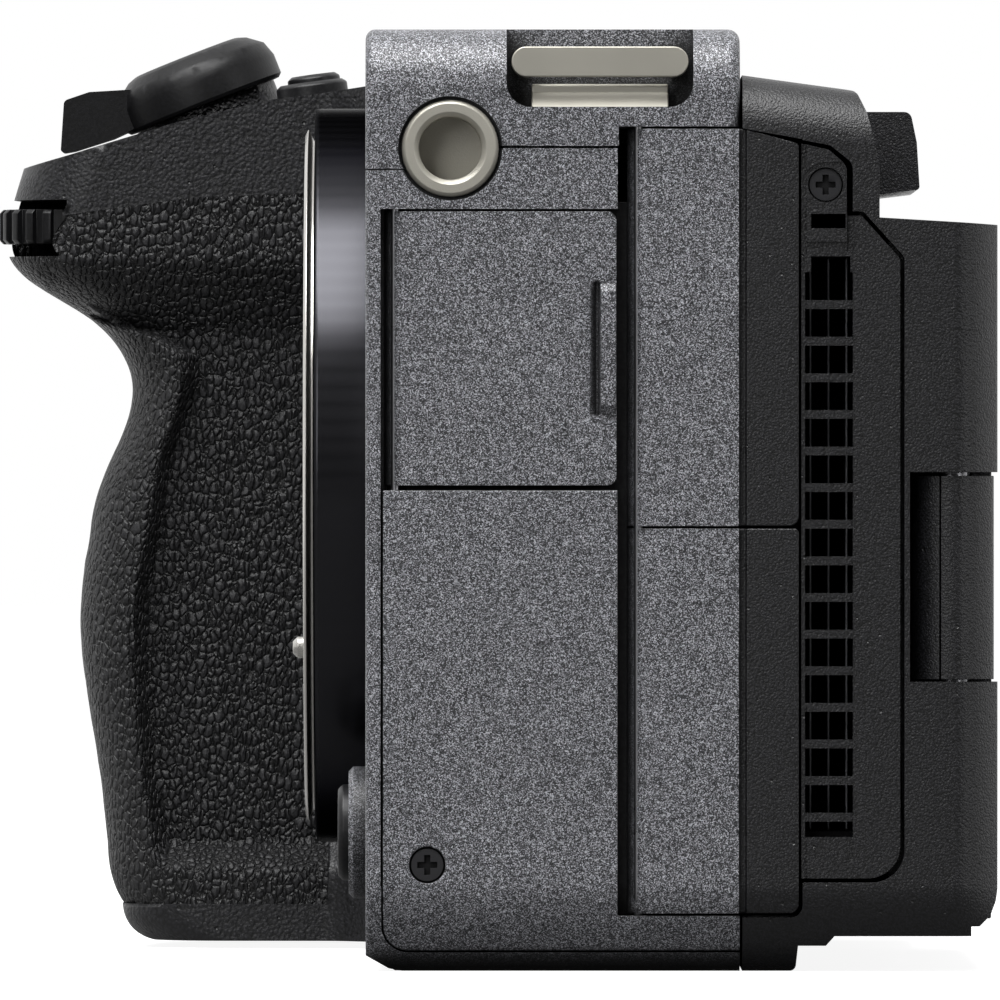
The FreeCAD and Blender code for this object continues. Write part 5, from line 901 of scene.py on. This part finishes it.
@dataclass
class SubAssembly:
    """Pieces that are dressed together. Subclasses list their nodes and hold their sizes."""

    palette: Palette
    # The body's long lower left edge is rounded under, which shows as a band that darkens downwards
    lower_edge: Cage = Cage(
        "lower_edge_cage",
        (-20.0, -46.6, 0.0),
        (40.0, -33.0, 7.2),
        Axis.Y,
        (4.6, 3.45, 2.55, 1.8, 1.2, 0.72, 0.36, 0.12, 0.0),
    )
    nodes: ClassVar[dict[str, tuple[Slot, Edges]]] = {}

    def build(self) -> None:
        """Dress every node of the sub-assembly."""
        for name, (slot, edges) in self.nodes.items():
            piece = self.merged_copy(name)
            self.soften(piece, edges)
            self.reshape(name, piece)
            self.shade(piece, edges)
            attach(piece, body_of(frame["nodes"][name])[0])
            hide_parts(name)
            self.palette.paint(piece, slot)
            LOG.info("%s: %d faces, %s", piece.name, len(piece.data.polygons), slot.value)

    def reshape(self, name: str, piece: Object) -> None:
        """Give a copy the forms that the solid leaves out.

        Args:
            name: the node's name.
            piece: its copy.
        """
        if self.lower_edge.reaches(piece):
            self.lower_edge.pull(piece)

    def merged_copy(self, name: str) -> Object:
        """Copy a CAD node with its triangles joined and its flat faces made whole.

        Args:
            name: the node's name.

        Returns:
            The copy.
        """
        source = frame["nodes"][name]
        piece = bpy.data.objects.new(f"{name}_dressed", source.data.copy())
        bpy.context.collection.objects.link(piece)
        with editing(piece):
            bpy.ops.mesh.remove_doubles(threshold=MERGE_MM * MM)
            bpy.ops.mesh.dissolve_limited(angle_limit=math.radians(FLAT_DEGREES))
        return piece

    def soften(self, piece: Object, edges: Edges) -> None:
        """Round a piece's edges.

        Args:
            piece: piece to soften.
            edges: how its edges are softened.
        """
        if edges.width_mm > 0:
            bevel = piece.modifiers.new("edges", "BEVEL")
            bevel.width = edges.width_mm * MM
            bevel.segments = edges.segments
            bevel.limit_method = "ANGLE"
            bevel.angle_limit = math.radians(edges.bevel_angle)
            bevel.use_clamp_overlap = True
            take(piece)
            bpy.ops.object.modifier_apply(modifier=bevel.name)

    def shade(self, piece: Object, edges: Edges) -> None:
        """Shade a piece smooth up to its sharp edges.

        Args:
            piece: piece to shade.
            edges: the angle from which an edge stays sharp.
        """
        take(piece)
        bpy.ops.object.shade_smooth_by_angle(angle=math.radians(edges.smooth_angle))
        weights = piece.modifiers.new("weights", "WEIGHTED_NORMAL")
        weights.keep_sharp = True
        bpy.ops.object.modifier_apply(modifier=weights.name)


WIDE = Edges(0.3, 3)
BROAD = Edges(0.2, 3)
FINE = Edges(0.12)
TINY = Edges(0.05)
CURVED = Edges(0.0, smooth_angle=32.0)


@dataclass
class MetalCovers(SubAssembly):
    """The painted covers with their inserts, strap bars, shoe and screws."""

    # The top cover's lower front edge lies below this height and ahead of this place
    seam_edge_mm: tuple[float, float] = (66.35, -13.4)
    seam_open_mm: float = 0.12

    nodes: ClassVar[dict[str, tuple[Slot, Edges]]] = {
        "top_cover": (Slot.GREY_METAL, FINE),
        "front_cover": (Slot.GREY_METAL, FINE),
        "side_panel": (Slot.GREY_METAL, FINE),
        "base_plate": (Slot.BASE_BLACK, FINE),
        "thread_inserts": (Slot.NICKEL_INSERT, TINY),
        "strap_eyelets": (Slot.SATIN_SILVER, FINE),
        "accessory_shoe": (Slot.SHOE_BLACK, FINE),
        "screws": (Slot.BLACK_SCREW, TINY),
        "front_tally_lamp": (Slot.LAMP_LENS, TINY),
    }

    def reshape(self, name: str, piece: Object) -> None:
        """Open the seam under the front of the top cover to its width in the photograph.

        Args:
            name: the node's name.
            piece: its copy.
        """
        super().reshape(name, piece)
        if name == "top_cover":
            height, place = self.seam_edge_mm
            for point in piece.data.vertices:
                if point.co.z < height * MM and point.co.x < place * MM:
                    point.co.z += self.seam_open_mm * MM


@dataclass(frozen=True)
class FrontFace:
    """A front face to set back: where it is, where the photograph shows it, and what lies behind."""

    node: str
    solid_mm: float
    photographed_mm: float
    behind_mm: float
    depth_kept: float = 1.0


@dataclass
class LensMount(SubAssembly):
    """The bayonet ring, its black surround and the throat behind it."""

    front_faces: tuple[FrontFace, ...] = (
        FrontFace("bayonet_ring", -22.8, -22.62, -22.5),
        FrontFace("lens_surround", -22.05, -21.78, -21.4, 0.25),
    )
    groove_mm: tuple[float, float] = (-22.27, -21.9)
    groove_wall_mm: float = 0.02
    groove_depth_mm: float = 0.9
    ring_rim_mm: float = 28.5

    nodes: ClassVar[dict[str, tuple[Slot, Edges]]] = {
        "lens_surround": (Slot.GLOSS_BLACK, FINE),
        "bayonet_ring": (Slot.BRIGHT_STEEL, BROAD),
        "lens_lock_pin": (Slot.BRIGHT_STEEL, TINY),
        "lens_release_button": (Slot.BUTTON_BLACK, FINE),
        "contact_block": (Slot.BLACK_PLASTIC, CURVED),
        "light_baffle": (Slot.BLACK_PLASTIC, FINE),
        "sensor_stabiliser": (Slot.SENSOR_UNIT, FINE),
        "sensor_filter": (Slot.FILTER_GLASS, TINY),
    }

    def reshape(self, name: str, piece: Object) -> None:
        """Set the front faces of the ring and its surround back to where the photograph shows them.

        Args:
            name: the node's name.
            piece: its copy.
        """
        for face in self.front_faces:
            if face.node != name:
                continue
            for point in piece.data.vertices:
                if point.co.x < face.behind_mm * MM:
                    depth = (point.co.x - face.solid_mm * MM) * face.depth_kept
                    point.co.x = face.photographed_mm * MM + depth
        if name == "bayonet_ring":
            self.groove(piece)

    def groove(self, piece: Object) -> None:
        """Turn the groove behind the ring's bright rim.

        Args:
            piece: copy of the ring.
        """
        (low, high), wall = self.groove_mm, self.groove_wall_mm
        cut_rows(piece, Axis.X, [x * MM for x in (low, low + wall, high - wall, high)])
        for point in piece.data.vertices:
            away = Vector((0.0, point.co.y, point.co.z - LENS_HEIGHT))
            inside = low + wall / 2 < point.co.x / MM < high - wall / 2
            if inside and away.length > self.ring_rim_mm * MM:
                point.co -= away.normalized() * self.groove_depth_mm * MM


@dataclass
class SideDoors(SubAssembly):
    """The three doors with their liners and pins, and the sockets behind them."""

    # A door's front edge turns in with a wide radius, so it darkens towards the gap
    front_edges_mm: tuple[tuple[str, float], ...] = (
        ("audio_door", -15.75),
        ("video_door", 4.3),
        ("data_door", 4.3),
    )
    nose_long_mm: float = 1.7
    nose_deep_mm: tuple[float, float] = (-46.0, -44.2)
    nose_heights_mm: tuple[float, float] = (4.0, 70.0)
    nose_shifts_mm: tuple[float, ...] = (1.1, 0.85, 0.66, 0.5, 0.36, 0.24, 0.14, 0.06, 0.0)
    # The dent's lower and upper end, the height of its end walls, and its depths along the body
    dent_mm: tuple[float, float] = (45.8, 57.1)
    dent_wall_mm: float = 0.3
    dent_depths_mm: tuple[tuple[float, float], ...] = (
        (1.15, 0.0), (1.3, 0.08), (1.5, 0.26), (1.7, 0.5), (1.86, 0.65), (1.94, 0.65),
    )
    door_skin_mm: float = -45.8

    nodes: ClassVar[dict[str, tuple[Slot, Edges]]] = {
        "audio_door": (Slot.GREY_METAL, FINE),
        "video_door": (Slot.GREY_METAL, FINE),
        "video_door_liner": (Slot.MOULDING_BLACK, FINE),
        "data_door": (Slot.GREY_METAL, FINE),
        "data_door_liner": (Slot.MOULDING_BLACK, FINE),
        "hinge_pins": (Slot.PIN_STEEL, CURVED),
        "jack_tray": (Slot.BLACK_PLASTIC, FINE),
        "jack_sockets": (Slot.NICKEL_INSERT, TINY),
    }

    def reshape(self, name: str, piece: Object) -> None:
        """Turn the front edge of a door further in.

        Args:
            name: the node's name.
            piece: its copy.
        """
        super().reshape(name, piece)
        (outer, inner), (low, high) = self.nose_deep_mm, self.nose_heights_mm
        for door, front in self.front_edges_mm:
            if door == name:
                start, end = (front, outer, low), (front + self.nose_long_mm, inner, high)
                Cage(f"{name}_nose", start, end, Axis.Y, self.nose_shifts_mm, Axis.X).pull(piece)
        if name == "audio_door":
            self.nail_dent(piece)

    def nail_dent(self, piece: Object) -> None:
        """Sink the dent for a finger nail in front of the lip.

        Args:
            piece: copy of the door.
        """
        (low, high), wall = self.dent_mm, self.dent_wall_mm
        cut_rows(piece, Axis.Z, [z * MM for z in (low, low + wall, high - wall, high)])
        cut_rows(piece, Axis.X, [x * MM for x, _ in self.dent_depths_mm])
        for point in piece.data.vertices:
            x, y, z = (c / MM for c in point.co)
            if y < self.door_skin_mm and low + wall / 3 < z < high - wall / 3:
                depths = [depth for place, depth in self.dent_depths_mm if abs(x - place) < 0.02]
                point.co.y += sum(depths) * MM


@dataclass
class RearCovers(SubAssembly):
    """The textured black rear cover, the vent and the swing-out monitor."""

    # The cover's cheeks and the monitor's hinge turn in with a wide radius at the back
    rear_edge: Cage = Cage(
        "rear_edge_cage",
        (31.3, -46.0, 3.0),
        (34.8, -42.5, 63.0),
        Axis.Y,
        (0.0, 0.03, 0.12, 0.28, 0.5, 0.8, 1.15, 1.6, 2.2),
        Axis.X,
    )
    rounded: tuple[str, ...] = ("rear_cover", "hinge_block", "monitor_back")

    nodes: ClassVar[dict[str, tuple[Slot, Edges]]] = {
        "vent_frame": (Slot.MOULDING_BLACK, FINE),
        "rear_cover": (Slot.MOULDING_BLACK, FINE),
        "hinge_block": (Slot.MOULDING_BLACK, FINE),
        "monitor_back": (Slot.MOULDING_BLACK, FINE),
        "monitor_bezel": (Slot.MOULDING_BLACK, FINE),
        "monitor_glass": (Slot.SCREEN_GLASS, TINY),
    }

    def reshape(self, name: str, piece: Object) -> None:
        """Round the long edge at the back of the body.

        Args:
            name: the node's name.
            piece: its copy.
        """
        super().reshape(name, piece)
        if name in self.rounded:
            self.rear_edge.pull(piece)


@dataclass
class Controls(SubAssembly):
    """Dials, wheel, stick and buttons."""

    nodes: ClassVar[dict[str, tuple[Slot, Edges]]] = {
        "rear_dial": (Slot.DIAL_BLACK, TINY),
        "front_dial": (Slot.DIAL_BLACK, TINY),
        "control_wheel": (Slot.DIAL_BLACK, TINY),
        "zoom_ring": (Slot.DIAL_BLACK, TINY),
        "centre_button": (Slot.BUTTON_BLACK, FINE),
        "joystick": (Slot.BUTTON_BLACK, CURVED),
        "joystick_gimbal": (Slot.PIN_STEEL, CURVED),
        "menu_button": (Slot.BUTTON_BLACK, FINE),
        "autofocus_button": (Slot.BUTTON_BLACK, FINE),
        "playback_button": (Slot.BUTTON_BLACK, FINE),
        "delete_button": (Slot.BUTTON_BLACK, FINE),
        "record_button": (Slot.BUTTON_BLACK, FINE),
        "top_button_front": (Slot.BUTTON_BLACK, FINE),
        "top_button_rear": (Slot.BUTTON_BLACK, FINE),
        "control_unit": (Slot.BLACK_PLASTIC, CURVED),
    }


@dataclass
class Grip(SubAssembly):
    """The hand grip with the battery, the memory card and their doors."""

    # The grip's front, pulled to the outline that the photograph shows
    front: Cage = Cage(
        "grip_front_cage",
        (-50.0, 40.0, 2.1),
        (-15.0, 84.0, 61.6),
        Axis.X,
        (0.05, 0.35, 0.4, -0.09, -0.35, -0.26, 0.0, 0.0, -0.26, -0.7, -0.55, -0.2, -0.1, -0.2,
         -0.1, 0.3, 0.0, 0.0),
    )
    hollow: FingerHollow = FingerHollow()

    nodes: ClassVar[dict[str, tuple[Slot, Edges]]] = {
        "grip_leatherette": (Slot.LEATHERETTE, CURVED),
        "grip_frame": (Slot.GRIP_BLACK, CURVED),
        "grip_foot": (Slot.GRIP_BLACK, CURVED),
        "grip_top": (Slot.GRIP_BLACK, CURVED),
        "battery": (Slot.BATTERY_CASE, WIDE),
        "battery_door": (Slot.GRIP_BLACK, FINE),
        "battery_latch": (Slot.BUTTON_BLACK, FINE),
        "card_slot_unit": (Slot.NICKEL_INSERT, TINY),
        "card_door": (Slot.GRIP_BLACK, FINE),
    }

    def reshape(self, name: str, piece: Object) -> None:
        """Pull the front of the cover and frame to their outline and press in the finger hollow.

        Args:
            name: the node's name.
            piece: its copy.
        """
        if name in ("grip_leatherette", "grip_frame"):
            self.front.pull(piece)
            self.hollow.press(name, piece)


@dataclass
class Inside(SubAssembly):
    """The frame, board, fan and heat sink that show through the openings."""

    # A loose part of the heat sink thinner than this is a fin, and this share of it stays
    fin_limit_mm: float = 0.6
    fin_share: float = 0.4

    nodes: ClassVar[dict[str, tuple[Slot, Edges]]] = {
        "chassis": (Slot.CAST_ALLOY, FINE),
        "main_board": (Slot.CIRCUIT_BOARD, TINY),
        "fan_housing": (Slot.BLACK_PLASTIC, FINE),
        "fan_rotor": (Slot.BLACK_PLASTIC, CURVED),
        "heat_sink": (Slot.BARE_ALUMINIUM, TINY),
    }

    def reshape(self, name: str, piece: Object) -> None:
        """Make the fins in the duct as thin as folded sheet.

        Args:
            name: the node's name.
            piece: its copy.
        """
        super().reshape(name, piece)
        if name != "heat_sink":
            return
        with editing(piece):
            bpy.ops.mesh.separate(type="LOOSE")
        parts = list(bpy.context.selected_objects)
        for part in parts:
            along = [p.co.x for p in part.data.vertices]
            if max(along) - min(along) < self.fin_limit_mm * MM:
                middle = (0.5 * (max(along) + min(along)), 0.0, 0.0)
                thinner = (self.fin_share, 1.0, 1.0)
                with editing(part):
                    bpy.ops.transform.resize(value=thinner, center_override=middle)
        take(piece)
        for part in parts:
            part.select_set(True)
        bpy.ops.object.join()


@dataclass(frozen=True)
class Softbox:
    """One soft light of the studio."""

    name: str
    place: tuple[float, float, float]
    size: tuple[float, float]
    watts: float
    aim: tuple[float, float, float] = (-0.006, 0.0, 0.039)

    def build(self) -> None:
        """Make the light and turn it to what it lights."""
        data = bpy.data.lights.new(self.name, "AREA")
        data.shape = "RECTANGLE"
        data.size, data.size_y = self.size
        data.energy = self.watts
        lamp = bpy.data.objects.new(self.name, data)
        lamp.location = self.place
        away = Vector(self.place) - Vector(self.aim)
        lamp.rotation_euler = away.to_track_quat("Z", "Y").to_euler()
        lamp.visible_camera = False
        bpy.context.collection.objects.link(lamp)


@dataclass
class Studio:
    """Floor, surroundings, lights and camera."""

    near_side: float = -0.046
    camera_distance: float = 1.750
    camera_x: float = -0.0062
    camera_height: float = 0.0389
    lens_mm: float = 764.2
    sensor_wide_mm: float = 36.0
    floor_side: float = 12.0
    floor_drop: float = 0.00005
    floor_glow: float = 0.9
    # The Y where the dim front ends and the Y where all is white: of the room, then of the floor
    room_dim: tuple[float, float] = (-0.7, 0.4)
    floor_dim: tuple[float, float] = (-0.06, 0.25)
    fill: float = 0.25
    front_dark: float = 0.08
    lights: tuple[Softbox, ...] = (
        Softbox("top_box", (-0.15, -0.25, 0.75), (0.8, 0.5), 11.5),
        Softbox("left_box", (-0.55, -1.25, 0.5), (0.5, 0.8), 4.3),
        Softbox("right_box", (1.1, -0.8, 0.35), (0.4, 0.7), 3.0),
    )

    def build(self) -> None:
        """Make everything round the object."""
        self.surroundings()
        self.floor()
        for light in self.lights:
            light.build()
        self.camera()

    def surroundings(self) -> None:
        """Make a world that looks white, lights softly and is a dim room behind the camera."""
        world = bpy.data.worlds.new("studio_world")
        bpy.context.scene.world = world
        world.use_nodes = True
        tree = world.node_tree
        tree.nodes.clear()
        way = add_node(tree, "ShaderNodeTexCoord").outputs["Generated"]
        white = {"Color": (1, 1, 1, 1)}
        fills = add_node(tree, "ShaderNodeBackground", values=white | {"Strength": self.fill})
        seen = add_node(
            tree, "ShaderNodeBackground", values=white,
            links={"Strength": self.seen_white(tree, way, *self.room_dim)},
        )
        mix = add_node(
            tree, "ShaderNodeMixShader",
            links={0: self.direct_sight(tree), 1: fills.outputs[0], 2: seen.outputs[0]},
        )
        add_node(tree, "ShaderNodeOutputWorld", links={"Surface": mix.outputs[0]})

    def seen_white(
        self, tree: NodeTree, place: NodeSocket, near: float, far: float
    ) -> NodeSocket:
        """Give how white the surroundings are: white to the camera, dim in front to a reflection.

        Args:
            tree: node tree that gets the nodes.
            place: place or direction on the surroundings.
            near: its Y where the dim part in front ends.
            far: its Y where they are white.

        Returns:
            The socket with a whiteness between front_dark and 1.
        """
        side = add_node(tree, "ShaderNodeSeparateXYZ", links={0: place})
        sweep = add_node(
            tree, "ShaderNodeMapRange", {"interpolation_type": "SMOOTHSTEP"},
            {"From Min": near, "From Max": far, "To Min": self.front_dark, "To Max": 1.0},
            {"Value": side.outputs["Y"]},
        )
        rays = add_node(tree, "ShaderNodeLightPath")
        return add_node(
            tree, "ShaderNodeMath", {"operation": "MAXIMUM"},
            links={0: rays.outputs["Is Camera Ray"], 1: sweep.outputs["Result"]},
        ).outputs["Value"]

    def direct_sight(self, tree: NodeTree) -> NodeSocket:
        """Tell rays from the camera, a reflection or through glass from those that light things.

        Args:
            tree: node tree that gets the nodes.

        Returns:
            The socket that is 1 for a ray that shows the surroundings.
        """
        rays = add_node(tree, "ShaderNodeLightPath")
        kinds = [rays.outputs[f"Is {kind} Ray"] for kind in ("Camera", "Glossy", "Transmission")]
        both = add_node(
            tree, "ShaderNodeMath", {"operation": "MAXIMUM"}, links={0: kinds[0], 1: kinds[1]}
        )
        return add_node(
            tree, "ShaderNodeMath", {"operation": "MAXIMUM"},
            links={0: both.outputs["Value"], 1: kinds[2]},
        ).outputs["Value"]

    def floor(self) -> None:
        """Make the pale floor, which keeps the shadow and looks white round it."""
        bpy.ops.mesh.primitive_plane_add(
            size=self.floor_side, location=(0.0, 0.0, -self.floor_drop)
        )
        floor = bpy.context.active_object
        floor.name = "studio_floor"
        made = bpy.data.materials.new("pale_backdrop_paper")
        made.use_nodes = True
        tree = made.node_tree
        tree.nodes.clear()
        place = add_node(tree, "ShaderNodeTexCoord").outputs["Object"]
        white = self.seen_white(tree, place, *self.floor_dim)
        paper = add_node(tree, "ShaderNodeBsdfDiffuse", values={"Color": linear("#b4b4b4")})
        glow_strength = add_node(
            tree, "ShaderNodeMath", {"operation": "MULTIPLY"}, {1: self.floor_glow}, {0: white}
        )
        glow = add_node(
            tree, "ShaderNodeEmission", links={"Strength": glow_strength.outputs["Value"]}
        )
        lit = add_node(tree, "ShaderNodeAddShader", links={0: paper.outputs[0], 1: glow.outputs[0]})
        dull = add_node(tree, "ShaderNodeBsdfDiffuse", values={"Color": linear("#5c5c5c")})
        shown = add_node(
            tree, "ShaderNodeMath", {"operation": "MULTIPLY"},
            links={0: self.direct_sight(tree), 1: white},
        )
        mix = add_node(
            tree, "ShaderNodeMixShader",
            links={0: shown.outputs["Value"], 1: dull.outputs[0], 2: lit.outputs[0]},
        )
        add_node(tree, "ShaderNodeOutputMaterial", links={"Surface": mix.outputs[0]})
        floor.data.materials.append(made)

    def camera(self) -> None:
        """Make the camera, level with the middle of the picture and square to the left side."""
        data = bpy.data.cameras.new("photo_camera")
        data.lens = self.lens_mm
        data.sensor_width = self.sensor_wide_mm
        data.clip_end = 50.0
        camera = bpy.data.objects.new("photo_camera", data)
        camera.location = (self.camera_x, self.near_side - self.camera_distance, self.camera_height)
        camera.rotation_euler = (math.radians(90.0), 0.0, 0.0)
        bpy.context.collection.objects.link(camera)
        bpy.context.scene.camera = camera


def main() -> None:
    """Dress the camera body and set up the studio."""
    logging.basicConfig(level=logging.INFO, format="%(message)s")
    bpy.context.scene.view_settings.view_transform = "Standard"
    palette = Palette()
    for kind in (MetalCovers, LensMount, SideDoors, RearCovers, Controls, Grip, Inside):
        kind(palette).build()
        LOG.info("%s done", kind.__name__)
    Studio().build()


if __name__ == "__main__":
    main()
